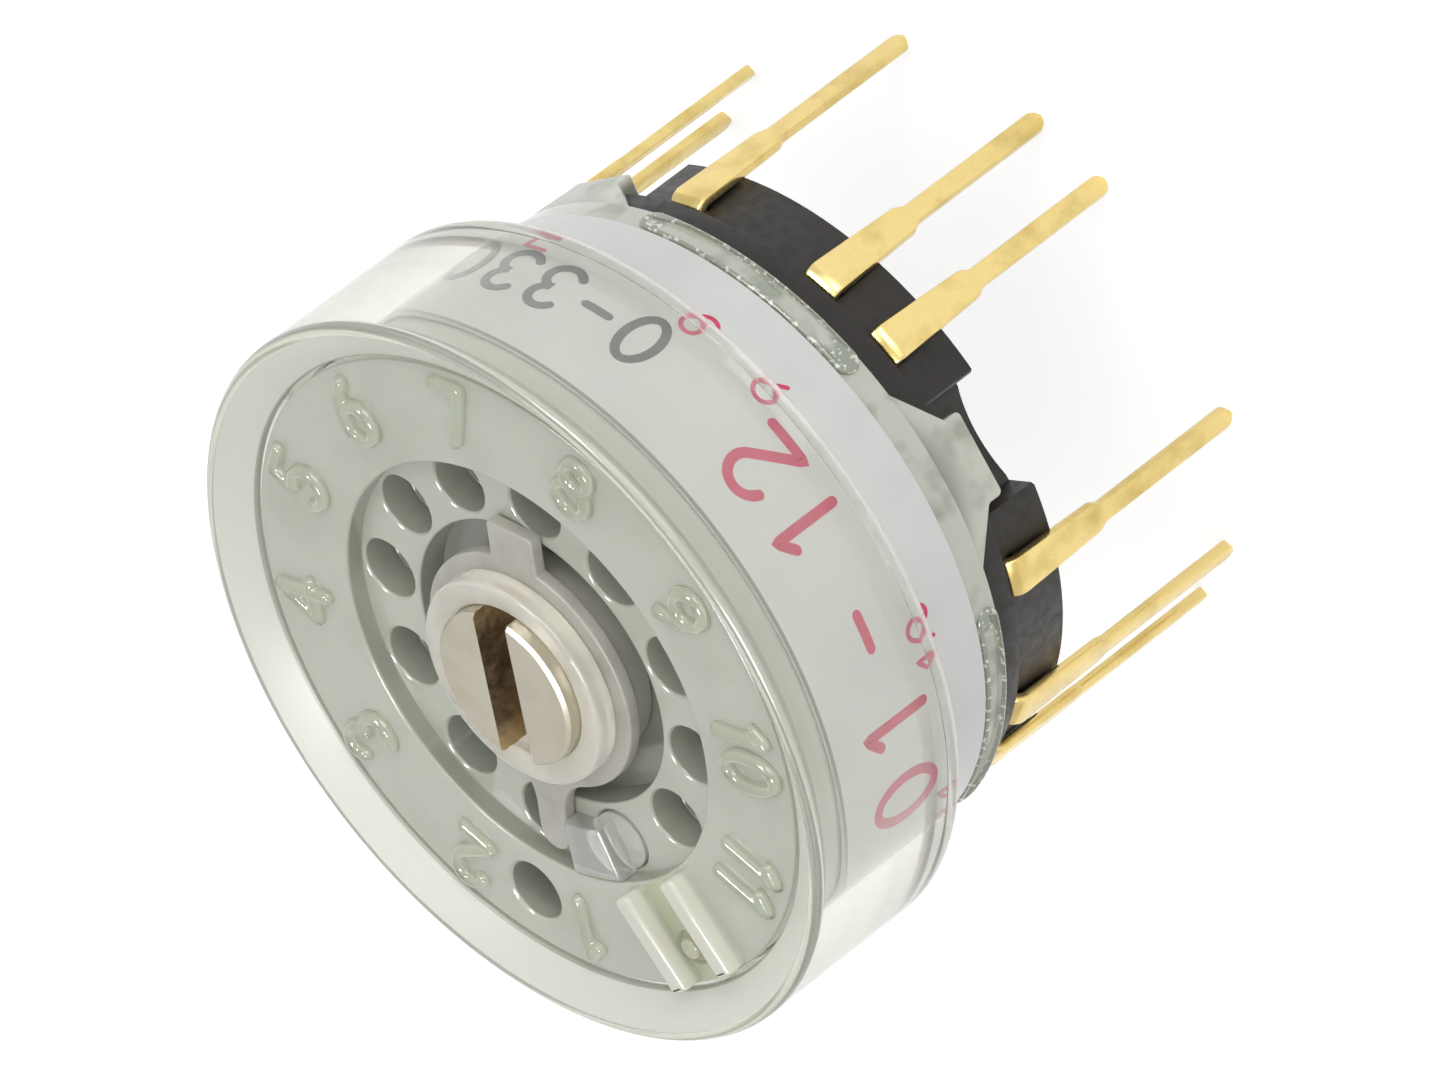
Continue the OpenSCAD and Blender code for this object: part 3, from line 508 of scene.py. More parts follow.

# %% [markdown]
# The cup is the same kind of clear plastic with a smoky tint, thick enough that it looks milky
# grey-green. Its upright walls round the holes and its floor of the well are painted darker, as
# painted shade in these hollows. The skirt is clouded by flow marks, the ribs carry painted glints,
# small bright patches drawn coarse enough to show, and the thick key bars look creamy. The figures
# and the stop pin are clearer, with a hard gloss. All this could be painted, but worked out from the
# form it stays sharp at any distance.

# %% The smoky cup, its figures and the stop pin
# smoky and milky, with a thin hard gloss over it
clear_case = stain(finish("acrylic, smoky moulded", "#D9DCCD", 0.16, 0.05, 0.8, 0.006, 2.5,
                          Transmission_Weight=0.25, IOR=1.49, Subsurface_Weight=0.1,
                          Subsurface_Scale=0.5 * MM, Coat_Weight=0.4, Coat_Roughness=0.05),
                   "#CED1C1", 2.0)
# painted shade: upright walls of the holes, the recess and the well are darker, as shade in these
# hollows
upright = overlap(clear_case, share_of_walls(clear_case), share_by_radius(clear_case, 6.95, 6.90),
                  share_along(clear_case, 8.42, 8.34))
# painted shade: the cup is darker from the well's floor down, which darkens the well and the bottoms
# of the stop holes
painted_well_shade = share_along(clear_case, 7.35, 7.20)
skirt = share_by_radius(clear_case, 7.1, 7.3)
flow_marks = overlap(clear_case, skirt, share_along(clear_case, 7.0, 6.5),
                     share_of_patches(clear_case, 0.9, 0.5, 0.68))
ribs = share_by_radius(clear_case, 7.37, 7.40)
# painted glints: small near-white patches on the ribs stand in for sparkles of light
painted_rib_glints = overlap(clear_case, ribs, share_of_patches(clear_case, 0.12, 0.56, 0.62))
key_bars = share_along(clear_case, 8.52, 8.68)
between_bars = overlap(clear_case, share_along(clear_case, -0.66, -0.60, "X"),
                       share_along(clear_case, 0.66, 0.60, "X"),
                       share_along(clear_case, 4.9, 5.0, "Y"),
                       share_along(clear_case, 8.60, 8.54), share_along(clear_case, 8.28, 8.34))
for share, colour in ((upright, "#B4B7A9"), (painted_well_shade, "#A5A59A"), (skirt, "#D5D8CA"),
                      (flow_marks, "#AFB5A5"), (ribs, "#A6AC9C"), (painted_rib_glints, "#F4F5EC"),
                      (key_bars, "#EFF0E2"), (between_bars, "#D3D5B8")):
    shift(clear_case, share, colour)
# clear beads that take the dial's grey and carry sparks
clear_figures = finish("acrylic, raised figures", "#D8DBCD", 0.04, 0.02, 0.5,
                       Transmission_Weight=0.82, IOR=1.49, Coat_Weight=0.8, Coat_Roughness=0.03)
# the clearest piece, like a drop of glass
clear_pin = finish("acrylic, clear pin", "#F6F7F0", 0.04, 0.02, 0.6,
                   Transmission_Weight=0.62, IOR=1.49, Coat_Weight=1.0, Coat_Roughness=0.02)

# %% [markdown]
# The film is satin polyester with screen-printed ink, and its cut front edge is a thin dark
# line. The base is black glass-filled resin, whose filler makes the gloss uneven. The collar is
# natural nylon, slightly see-through, and the stop plate under it a warm grey resin. None of
# them is one flat colour in the photo, so each gets a second one in soft patches.

# %% Film, inks and resins
# an even pale grey with one broad soft highlight
printed_film = stain(finish("polyester film, satin", "#D2D3D1", 0.35, 0.05, 0.3, 0.002, 1.2,
                            Coat_Weight=0.2), "#CACBC9", 3.0)
# the film's cut front edge is a thin dark line
cut_edge = overlap(printed_film, share_along(printed_film, 7.60, 7.64),
                   share_along(printed_film, 7.719, 7.70))
shift(printed_film, cut_edge, "#84877A")
# carmine with a soft sheen, a little thinner in patches
red_ink = stain(finish("screen ink, red", "#C42F58", 0.4, 0.05, 0.15), "#CE486C", 0.4)
# the same ink in dark grey
grey_ink = stain(finish("screen ink, grey", "#58585A", 0.4, 0.05, 0.15), "#6A6A6C", 0.4)
# near black, with the uneven gloss of its filler
black_resin = stain(finish("filled resin, black moulded", "#221E1B", 0.42, 0.1, 0.25, 0.01, 0.35,
                           Specular_IOR_Level=0.35), "#191613", 0.8)
# whitish and a little see-through, so its rim glows
white_nylon = stain(finish("nylon, natural moulded", "#F8F6EE", 0.06, 0.03, 0.3, 0.004, 0.8,
                           Transmission_Weight=0.6, IOR=1.53), "#EFEDE4", 0.9)
# warm and dull, the calmest piece on the dial
grey_resin = stain(finish("resin, warm grey moulded", "#BAB8AE", 0.35, 0.06, 0.3, 0.004, 0.6),
                   "#A9A79D", 0.9)

# %% [markdown]
# Inside, the detent ring is creamy acetal, which wears well against steel, the rotor is a
# filled resin like the base but grey, the seals are matt black rubber, and the potting round
# the middle pin is glossy amber epoxy, poured and left to level itself. Little of them shows,
# so one grain and one soft stain each are enough.

# %% Resins and rubber of the inner pieces
# creamy and waxy
acetal = stain(finish("acetal, natural", "#D9D5C6", 0.4, 0.06, 0.3), "#CBC7B7", 1.0)
# dull dark grey
rotor_resin = stain(finish("filled resin, grey moulded", "#5F5C57", 0.45, 0.08, 0.3),
                    "#4D4A46", 0.8)
# dark amber with a wet gloss
potting_resin = stain(finish("epoxy, cast amber", "#4B3A24", 0.15, 0.05, 0.4, 0.01, 0.8),
                      "#3A2C1B", 0.7)
# a black that hardly shines
black_rubber = stain(finish("nitrile rubber, black", "#201F1F", 0.6, 0.08, 0.15, 0.005, 0.2),
                     "#2A2929", 0.5)

# %% [markdown]
# The pins are brass strip, stamped and gold plated: warm, bright, a little uneven where the
# stamping drew the metal. The shaft is turned brass under dull nickel. Its slot was milled
# after plating, so brown brass shows there, and its dark tone is partly painted shade of the
# narrow slot. The wiper is sprung phosphor bronze, and the balls and springs are bright steel.
# A metal shows little but what it reflects, so the colour is the small part of each: the grain,
# the waviness and the roughness do most.

# %% Metals
# warm and bright, with cloudy patches
gold_plate = stain(finish("brass strip, gold plated", "#E1CA88", 0.24, 0.07, 0.35, 0.008, 0.5,
                          Metallic=1.0), "#C5AC66", 0.8)
# a pale warm grey whose reflections are blurred
nickel_shaft = stain(finish("turned brass, nickel plated", "#D0CAB9", 0.3, 0.02, 0.6,
                            Metallic=1.0), "#C8C0AD", 0.9)
# brown and dull brass, whose dark tone is partly painted shade of the narrow slot, lighter towards
# the slot's ends
slot_brass_and_shade = stain(finish("brass, milled and dull", "#94846B", 0.5, 0.1, 0.2, 0.006, 0.2,
                            Metallic=1.0), "#6F614B", 0.5)
# painted light: the slot's open ends are lighter, where light falls in
shift(slot_brass_and_shade, share_by_radius(slot_brass_and_shade, 1.1, 1.5), "#BCA680")
# reddish gold, even as rolled strip is
spring_bronze = stain(finish("phosphor bronze, rolled", "#C99A55", 0.3, 0.06, 0.3,
                             Metallic=1.0), "#B98A48", 0.8)
# cool grey, with grain drawn coarser than it is so that it shows
spring_steel = stain(finish("spring steel, drawn wire", "#A3A3A8", 0.3, 0.05, 0.1,
                            Metallic=1.0), "#8F8F95", 0.3)
# small cool mirrors
ball_steel = stain(finish("ball steel, polished", "#B9B9BD", 0.12, 0.03, 0.1,
                          Metallic=1.0), "#AFAFB3", 0.3)
print(len(bpy.data.materials), "materials")

# %% [markdown]
# ## The clear ring
#
# The outer ring is one thick clear moulding. It could be two cylinders with one cut from the
# other, but its section has soft corners and a bevel that runs up from the dial to the rim, so
# it is spun with `lathe`. The bevel gives the wide creamy band round the dial, and the soft
# corners catch a thin line of light.

# %% Outer ring
ring = lathe("clear_outer_ring", round_corners([
    (RING_IN, RING_Z, 0.04), (RING_OUT, RING_Z, 0.18), (RING_OUT, RIM_Z, 0.18),
    (RING_OUT - 0.25, RIM_Z, 0.06), (RING_IN, DIAL_Z, 0.05)], 6), 240)
dress(ring, clear_ring, "housing", ["outer_ring"])

# %% [markdown]
# ## The dial case
#
# The cup is a lathe form too: dial, recess, well, bearing, gland and bore in one outline.
# Whatever breaks its round form is joined or cut afterwards: the key bars at twelve o'clock,
# the lugs that reach over the base, the ribs on its rear edge, and the stop holes. The holes
# repeat round a circle, so Geometry Nodes place one flared cutter at all twelve.

# %% The cup's outline
GLAND_IN, GLAND_OUT, INNER_R, SPIGOT_HOLE_R, SPIGOT_TOP_Z = 2.70, 3.20, 5.91, 6.40, 2.49
case = lathe("clear_dial_case", round_corners([
    (SKIRT_IN_R, CASE_Z, 0.02), (CASE_R, CASE_Z, 0.04), (CASE_R, DIAL_Z, 0.05),
    (RECESS_R, DIAL_Z, 0.07), (RECESS_R, FLOOR_Z, 0.04), (WELL_R, FLOOR_Z, 0.06),
    (WELL_R, WELL_Z, 0.04), (BEARING_R, WELL_Z, 0.05), (BEARING_R, CAVITY_Z, 0.02),
    (GLAND_IN, CAVITY_Z, 0.02), (GLAND_IN, BOSS_Z, 0.04), (GLAND_OUT, BOSS_Z, 0.06),
    (GLAND_OUT, CAVITY_Z, 0.06), (INNER_R, CAVITY_Z, 0.06), (INNER_R, KEY_Z, 0.02),
    (SPIGOT_HOLE_R, KEY_Z, 0.04), (SPIGOT_HOLE_R, SPIGOT_TOP_Z, 0.02),
    (SKIRT_IN_R, SPIGOT_TOP_Z, 0.02)], 4), 192)
print(case.name, "is spun from", len(case.data.polygons), "faces")

# %% [markdown]
# A node tree can do what a loop does, and its inputs stay sizes that can be read. The three
# trees of this lesson begin and end alike, so two helpers hold that part: the inputs by name,
# and at the end Realize Instances and Set Material, because an export drops bare instances.

# %% Geometry Nodes trees
def begin_tree(name, **kinds):
    """A node tree with these inputs. Gives the tree, its first node and the inputs' keys."""
    tree = bpy.data.node_groups.new(name, "GeometryNodeTree")
    tree.interface.new_socket("Geometry", in_out="OUTPUT", socket_type="NodeSocketGeometry")
    keys = {}
    for label, kind in {"Geometry": "Geometry", **kinds, "Material": "Material"}.items():
        label = label.replace("_", " ")
        keys[label] = tree.interface.new_socket(label, in_out="INPUT",
                                                socket_type="NodeSocket" + kind).identifier
    return tree, add_node(tree, "NodeGroupInput"), keys


def end_tree(tree, start, shape):
    """Makes the shape real, gives it the finish and sends it out."""
    real = add_node(tree, "GeometryNodeRealizeInstances", {"Geometry": shape})
    painted = add_node(tree, "GeometryNodeSetMaterial",
                       {"Geometry": real.outputs["Geometry"],
                        "Material": start.outputs["Material"]})
    add_node(tree, "NodeGroupOutput", {"Geometry": painted.outputs["Geometry"]})


def with_tree(piece, tree, keys, **values):
    """Runs a node tree on a piece and keeps the result as its plain mesh."""
    modifier = piece.modifiers.new(tree.name, "NODES")
    modifier.node_group = tree
    for label, value in values.items():
        modifier[keys[label.replace("_", " ")]] = value
    return bake(piece)


# %% [markdown]
# The real stop pin fits any of twelve blind holes, one to a position. An array modifier could
# repeat the cutter too, but a tree keeps the count, the circle and the first angle as sizes.
# Each mouth flares a little, and that lip catches a thin line of light.

# %% Stop holes by Geometry Nodes
def circle_tree(name):
    """A node tree that repeats a shape round an upright axis."""
    tree, start, keys = begin_tree(name, Count="Int", Circle_radius="Float",
                                   First_angle="Float")
    circle = add_node(tree, "GeometryNodeMeshCircle",
                      {"Vertices": start.outputs["Count"],
                       "Radius": start.outputs["Circle radius"]})
    angle = add_node(tree, "ShaderNodeCombineXYZ", {"Z": start.outputs["First angle"]})
    turned = add_node(tree, "GeometryNodeTransform",
                      {"Geometry": circle.outputs["Mesh"], "Rotation": angle.outputs["Vector"]})
    placed = add_node(tree, "GeometryNodeInstanceOnPoints",
                      {"Points": turned.outputs["Geometry"],
                       "Instance": start.outputs["Geometry"]})
    end_tree(tree, start, placed.outputs["Instances"])
    return tree, keys


def hole_outline(top_z, step, flare):
    """Half the section of a stop hole's cutter, whose mouth widens by a step and a flare."""
    return round_corners([
        (0.0, HOLE_Z, 0), (HOLE_R, HOLE_Z, 0.06), (HOLE_R, top_z - 0.08, 0),
        (HOLE_R + step, top_z - 0.03, 0), (HOLE_R + flare, top_z, 0),
        (HOLE_R + flare, top_z + 0.2, 0), (0.0, top_z + 0.2, 0)], 4)


hole_tree, hole_keys = circle_tree("stop hole circle")
holes = with_tree(lathe("stop_hole_cutter", hole_outline(FLOOR_Z, 0.02, 0.055), 48), hole_tree,
                  hole_keys, Count=12, Circle_radius=STOP_CIRCLE_R * MM,
                  First_angle=math.radians(STEP / 2), Material=clear_case)
spare_hole = lathe("spare_hole_cutter", hole_outline(DIAL_Z, 0.03, 0.08), 48,
                   centre=polar(SPARE_HOLE_R, SPARE_ANGLE))
dimple = lathe("gate_dimple_cutter", [(0.0, 8.37), (0.36, 8.37), (0.42, DIAL_Z + 0.01),
                                      (0.42, 8.7), (0.0, 8.7)], 48, centre=GATE)
print("stop holes:", len(holes.data.polygons), "faces in the cutter")

# %% [markdown]
# Lugs and ribs follow the round wall. They could be cut from tubes, but they are easier to draw
# flat, as seen from outside, and `on_case` then bends them round the wall. A rib is a long
# rounded bar, and a lug is a plate whose foot widens towards the case.

# %% Lugs and ribs
LUG_HALF, LUG_FOOT, LUG_LOW, LUG_NECK, LUG_GAP = 0.95, 2.00, 1.06, 1.46, 0.06
RIB_LOW, RIB_HIGH, RIB_OUT, RIB_HALF_ANGLE = 2.22, 2.815, 7.468, 23


def lug(name, angle, gap, top_z, r_in, r_out, **edges):
    """A lug, or with a gap the room that the base leaves for it."""
    half, foot, low, neck = LUG_HALF + gap, LUG_FOOT + gap, LUG_LOW - gap, LUG_NECK - gap / 3
    soft = 0 if gap else 0.1
    right = [(half, low, 1.2 * soft), (half, neck, soft), (foot, CASE_Z + gap / 3, soft),
             (foot, top_z, 0)]
    left = [(-x, z, radius) for x, z, radius in right]
    return slab(name, round_corners(left[:1] + right + left[:0:-1]), r_in, r_out,
                place=on_case(angle, LUG_R), **edges)


def rib(angle):
    """A long bar with round ends on the rear edge of the case."""
    end, middle = (RIB_HIGH - RIB_LOW) / 2, (RIB_HIGH + RIB_LOW) / 2
    reach = math.radians(RIB_HALF_ANGLE) * CASE_R - 0.3
    top = [(reach * (1 - k / 20), RIB_HIGH) for k in range(41)]
    low = [(-x, RIB_LOW) for x, z in top]
    outline = low + arc(reach, middle, end, end, -80, 80, 10)
    outline += top + arc(-reach, middle, end, end, 100, 260, 10)
    return slab(f"rib_{angle:.0f}", outline, CASE_R - 0.11, RIB_OUT, top=0.08,
                place=on_case(angle))


joined = [lug(f"lug_{angle:.0f}", angle, 0.0, 2.6, 6.80, CASE_R - 0.002, top=0.06, bottom=0.03)
          for angle in LUG_ANGLES]
joined += [rib(angle) for angle in RIB_ANGLES]
print(len(joined), "lugs and ribs")

# %% [markdown]
# At twelve o'clock two key bars stand on the dial, with the stub of the moulding gate between
# them. In the bore four keyways hold the detent ring. All are plain forms, so what matters is
# the order: first the dimple round the stub, then all that is joined, then the cutters.

# %% Key bars, gate and keyways
BAR_X, BAR_HALF, BAR_START = 0.88, 0.25, 4.93
for side in (-1, 1):
    x = side * BAR_X
    reach = math.sqrt((CASE_R - 0.02) ** 2 - (BAR_X + BAR_HALF) ** 2)
    joined.append(slab(f"key_bar_{side}", round_corners([
        (x - BAR_HALF, BAR_START, 0.16), (x + BAR_HALF, BAR_START, 0.16),
        (x + BAR_HALF, reach, 0.08), (x - BAR_HALF, reach, 0.08)]), 7.6, RIM_Z - 0.002, top=0.12))
joined.append(lathe("gate_stub", round_corners([
    (0.0, 8.2, 0), (0.25, 8.2, 0), (0.25, 8.568, 0.06), (0.0, 8.568, 0)], 3), 32, centre=GATE))
keyways = [turn_to(box("keyway", 5.0, KEY_R, -KEY_WIDTH / 2, KEY_WIDTH / 2, 1.0, KEY_Z), angle)
           for angle in RIB_ANGLES]
combine(case, [dimple], "DIFFERENCE")
combine(case, joined, "UNION")
# what the key bars reach into the recess is cut back to its wall
recess_clear = drum("recess_clearance", RECESS_R - 0.005, FLOOR_Z + 0.001, 9.2, 192)
combine(case, [recess_clear, holes, spare_hole] + keyways, "DIFFERENCE")
dress(case, clear_case, "housing", ["dial_case"])

# %% [markdown]
# ## Figures made of strokes
#
# The dial figures and the printed numbers are plain numerals drawn for this lesson. A font would
# give outlines, but both are made of strokes: round beads of clear plastic on the dial, and flat
# ribbons of ink on the film. Each figure is one or two strokes in a box 0.6 wide and 1 high.

# %% Strokes of the numerals
FIGURES = {
    "0": [arc(0.3, 0.5, 0.28, 0.5, 90, 450, 28)],
    "1": [[(0.14, 0.80), (0.24, 0.90), (0.34, 1.0), (0.34, 0.0)]],
    "2": [arc(0.3, 0.72, 0.27, 0.28, 165, -35, 14) + [(0.02, 0.0), (0.60, 0.0)]],
    "3": [arc(0.28, 0.75, 0.25, 0.25, 150, -80, 12) + arc(0.28, 0.27, 0.29, 0.27, 80, -150, 14)],
    "4": [[(0.46, 0.0), (0.46, 1.0), (0.0, 0.30), (0.62, 0.30)]],
    "5": [[(0.55, 1.0), (0.10, 1.0), (0.06, 0.56)]
          + arc(0.28, 0.31, 0.29, 0.31, 115, -145, 16)],
    "6": [[(0.46, 0.99), (0.30, 0.86), (0.12, 0.62)] + arc(0.3, 0.29, 0.28, 0.29, 155, -205, 26)],
    "7": [[(0.02, 1.0), (0.58, 1.0), (0.20, 0.0)]],
    "8": [arc(0.3, 0.76, 0.23, 0.24, -90, 270, 22), arc(0.3, 0.27, 0.29, 0.27, 90, 450, 24)],
    "9": [[(0.14, 0.01), (0.30, 0.14), (0.48, 0.38)] + arc(0.3, 0.71, 0.28, 0.29, -25, 335, 26)],
    "-": [[(0.08, 0.5), (0.52, 0.5)]],
    "degree": [arc(0.2, 0.84, 0.15, 0.16, 90, 450, 16)],
}


def resample(points, spacing):
    """The same stroke with its points at an even spacing."""
    result = [Vector(points[0])]
    for start, end in zip(points, points[1:]):
        a, b = Vector(start), Vector(end)
        count = max(1, round((b - a).length / spacing))
        result += [a.lerp(b, k / count) for k in range(1, count + 1)]
    return result


def text_strokes(text, height, gap=0.26):
    """Strokes of a row of figures in millimetres, centred on (0, 0)."""
    widths = [{"1": 0.42, "degree": 0.4}.get(figure, 0.6) for figure in text]
    strokes = []
    x = -(sum(widths) + gap * (len(text) - 1)) / 2
    for figure, width in zip(text, widths):
        strokes += [[((x + px) * height, (py - 0.5) * height) for px, py in stroke]
                    for stroke in FIGURES[figure]]
        x += width + gap
    return strokes


def sweep_stroke(points, radius, section, place, spacing, end_angles):
    """Sweeps a section along a stroke, whose open ends narrow like half a circle.

    section gives (across, height) points for a radius, and place puts them on the piece."""
    path = resample(points, spacing)
    closed = (path[0] - path[-1]).length < 1e-4
    if closed:
        path = path[:-1]
    stations = []
    for i, here in enumerate(path):
        before = path[i - 1] if i or closed else here
        after = path[(i + 1) % len(path)] if i < len(path) - 1 or closed else here
        stations.append((here, (after - before).normalized(), radius))
    if not closed:
        ends = []
        for sign, (here, along, _) in ((-1, stations[0]), (1, stations[-1])):
            ends.append([(here + along * sign * radius * math.sin(a), along,
                          radius * math.cos(a)) for a in map(math.radians, end_angles)])
        stations = ends[0][::-1] + stations + ends[1]
    rings = [[place(here.x - along.y * across, here.y + along.x * across, height)
              for across, height in section(size)] for here, along, size in stations]
    return skin("stroke", rings, closed)


print(len(FIGURES), "figures are drawn")

# %% [markdown]
# On the real dial the strokes of a figure flow into one another, as the cutter of the mould
# left them. So the beads of a figure are melted together by a voxel remesh, smoothed a little,
# and cut flat where they meet the dial.

# %% Raised figures on the dial
BEAD_R, BEAD_RISE, FIGURE_HEIGHT, FIGURE_SINK, CUT_SINK = 0.175, 1.35, 1.36, 0.01, 0.012


def bead_section(radius):
    """A tall round section with twelve corners."""
    return [(x, BEAD_RISE * y) for x, y in (polar(radius, 30 * k) for k in range(12))]


def dial_place(angle):
    """Puts a figure at its angle on the dial with its top outwards."""
    cx, cy = polar(FIGURE_R, angle)
    ux, uy = polar(1.0, angle)

    def place(x, y, height):
        return cx + ux * y + uy * x, cy + uy * y - ux * x, DIAL_Z - FIGURE_SINK + height
    return place


def raised_figure(n):
    """One number: beads melted together by a fine remesh, then cut flat at the dial."""
    parts = [sweep_stroke(stroke, BEAD_R, bead_section, dial_place(position_angle(n)), 0.05,
                          (35, 60, 80))
             for stroke in text_strokes(str(n), FIGURE_HEIGHT)]
    figure = merge(f"dial_figure_{n:02d}", parts)
    remesh = figure.modifiers.new("melt", "REMESH")
    remesh.mode = "VOXEL"
    remesh.voxel_size = 0.03 * MM
    smooth = figure.modifiers.new("soften", "SMOOTH")
    smooth.factor = 0.5
    smooth.iterations = 3
    bake(figure)
    bm = bmesh.new()
    bm.from_mesh(figure.data)
    level = (DIAL_Z - CUT_SINK) * MM
    bmesh.ops.bisect_plane(bm, geom=bm.verts[:] + bm.edges[:] + bm.faces[:], dist=1e-8,
                           plane_co=(0, 0, level), plane_no=(0, 0, 1), clear_inner=True)
    rim = [e for e in bm.edges if e.is_boundary]
    bmesh.ops.triangle_fill(bm, use_beauty=True, edges=rim, normal=(0, 0, -1))
    bmesh.ops.recalc_face_normals(bm, faces=bm.faces)
    bm.to_mesh(figure.data)
    bm.free()
    return figure


figures = merge("dial_figures", [raised_figure(n) for n in range(1, 12)])
dress(figures, clear_figures, "housing", sharp=50)

# %% [markdown]
# ## The printed film
#
# The film lies round the cup, just inside the ring. It is one strip, so it is spun through not
# quite a full turn, and the seam between its ends is at the side that the camera doesn't see.

# %% Film
FILM_LOW, FILM_HIGH, FILM_IN_R, FILM_R = 2.86, 7.72, 7.37, 7.43
SEAM_ANGLE, SEAM, INK, LIFT = 8.0, 1.2, 0.005, 0.001
film = lathe("film_band", [(FILM_IN_R, FILM_LOW), (FILM_R, FILM_LOW), (FILM_R, FILM_HIGH),
                           (FILM_IN_R, FILM_HIGH)], 240, start=SEAM_ANGLE + SEAM / 2,
             turn=360 - SEAM)
dress(film, printed_film, "housing", ["label_band"])

# %% [markdown]
# Ink on such a film is only some thousandths of a millimetre thick. An image could carry it,
# but would blur close up, so each stroke is a thin ribbon laid on the film's outside. Strokes
# that cross lie a thousandth of a millimetre apart, so no two faces share a place.

# %% Printing on the film
def ribbon_section(level):
    """Sections of a flat ribbon whose underside lies at this radius."""
    def section(half):
        under = [(half, level), (0.0, level), (-half, level)]
        return under + [(across, level + INK) for across, _ in reversed(under)]
    return section


def printed(name, text, size, width, angle, height):
    """A printed number on the film."""
    bend = on_case(angle, FILM_R)

    def on_film(x, y, radius):
        return bend(x, y + height, radius)

    parts = []
    for k, stroke in enumerate(text_strokes(text, size)):
        section = ribbon_section(FILM_R + LIFT * (1 + k % 3))
        parts.append(sweep_stroke(stroke, width / 2, section, on_film, 0.08, (30, 60, 85)))
    return merge(name, parts)


red = [printed("range", [figure], 1.65, 0.23, 191.7 - 12.2 * k, 5.88)
       for k, figure in ((0, "2"), (1, "1"), (2.4, "-"), (3.8, "1"), (4.8, "0"))]
red += [printed("position", list(str(n)), 0.95, 0.10, pin_angle(n) + 5, 4.45)
        for n in range(1, 13)]
dress(merge("print_red", red), red_ink, "housing")
grey = [printed("turn", ["0", "-", "3", "3", "0", "degree"], 1.3, 0.2, 238.6, 5.75)]
dress(merge("print_grey", grey), grey_ink, "housing")

# %% [markdown]
# ## Shaft, collar and stop plate
#
# The shaft is turned, so it is spun. Its end is chamfered, and its screwdriver slot is cut
# across with a small radius left on every edge by the bevel. The two flats below drive the
# rotor. The slot was milled after plating, so its faces get a second material: brown brass whose
# dark tone is partly painted shade.

# %% Shaft
SLOT_HALF, SLOT_Z, FLAT_X, CHAMFER = 0.45, 8.0, 1.5, 0.08
shaft = lathe("shaft_body", round_corners([
    (0.0, 0.79, 0), (0.8, 0.79, 0.1), (0.8, 2.93, 0.02), (SHAFT_R, 2.93, 0.06),
    (SHAFT_R, SHAFT_TIP_Z - CHAMFER, 0.03), (SHAFT_R - CHAMFER, SHAFT_TIP_Z, 0.03),
    (0.0, SHAFT_TIP_Z, 0)], 4), 128)
slot = turn_to(box("slot_cutter", -3, 3, -SLOT_HALF, SLOT_HALF, SLOT_Z, 10), SLOT_ANGLE)
flats = [turn_to(box("flat_cutter", -3, 3, low, low + 2, 2.0, 5.60), REST_ANGLE)
         for low in (-FLAT_X - 2, FLAT_X)]
combine(shaft, [slot] + flats, "DIFFERENCE")
dress(shaft, nickel_shaft, "turning_group", ["shaft"], edge=0.03)
shaft.data.materials.append(slot_brass_and_shade)
along_slot = Vector((*polar(1.0, SLOT_ANGLE), 0))
for face in shaft.data.polygons:
    centre = face.center / MM
    sideways = abs(centre.cross(along_slot).z)
    if SLOT_Z - 0.1 < centre.z < SHAFT_TIP_Z - 0.04 and sideways < SLOT_HALF + 0.01:
        face.material_index = 1
print("slot faces:", sum(face.material_index for face in shaft.data.polygons))

# %% [markdown]
# The collar is a small nylon ring that stands round the shaft's end. It could be a plain tube,
# but its end is a little dished and soft at the rim, which shows as a bright line.

# %% Collar
collar = lathe("collar_ring", round_corners([
    (SLEEVE_IN, 8.35, 0.02), (SLEEVE_OUT, 8.35, 0.03), (SLEEVE_OUT, 8.87, 0.1),
    (SLEEVE_IN, 8.76, 0.04)], 6), 128)
dress(collar, white_nylon, "turning_group", ["shaft_collar"])

# %% [markdown]
# The stop plate is a flat moulding with a sleeve below. Its outline, with disc, arm and tab in
# one, is lifted to its thickness. The arm leaves the disc in two fillets, each an arc that
# touches the disc and the side of the arm, so the outline has no corner there.

# %% Stop plate
def plate_outline():
    """Disc, filleted arm and tab of the stop plate, anticlockwise, with the arm along +X."""
    disc, half, fillet, arm, tab, tab_out = 2.77, 0.4, 1.1, 4.25, 0.63, 3.6
    fillet_y = half + fillet
    fillet_x = math.sqrt((disc + fillet) ** 2 - fillet_y ** 2)
    join = math.degrees(math.atan2(fillet_y, fillet_x))
    tab_join = math.degrees(math.asin(tab / disc))
    tab_end = [(-tab_out + 0.1, tab), (-tab_out + 0.03, tab - 0.03), (-tab_out, tab - 0.1)]
    points = arc(0, 0, disc, disc, join, 180 - tab_join, 40)
    points += tab_end + [(x, -y) for x, y in reversed(tab_end)]
    points += arc(0, 0, disc, disc, 180 + tab_join, 360 - join, 40)
    points += arc(fillet_x, -fillet_y, fillet, fillet, 180 - join, 90, 12)[1:]
    points += arc(arm, 0, half, half, -90, 90, 16)
    points += arc(fillet_x, fillet_y, fillet, fillet, 270, 180 + join, 12)[:-1]
    return points


plate = turn_to(slab("stop_plate_body", plate_outline(), 8.03, 8.33, top=0.06, bottom=0.03),
                ARM_ANGLE)
combine(plate, [drum("sleeve", SLEEVE_OUT, 7.31, 8.1)], "UNION")
combine(plate, [drum("bore_cutter", SLEEVE_IN, 7.0, 9.0)], "DIFFERENCE")
dress(plate, grey_resin, "turning_group", ["stop_plate"])

# %% [markdown]
# ## The stop pin
#
# The pin is a clear moulding that is pushed into one stop hole, and the arm stops against its
# head. The head could be a block, but it is a piece of a ring, so it keeps the same gap to the
# collar all along, and it has soft edges that flash white.

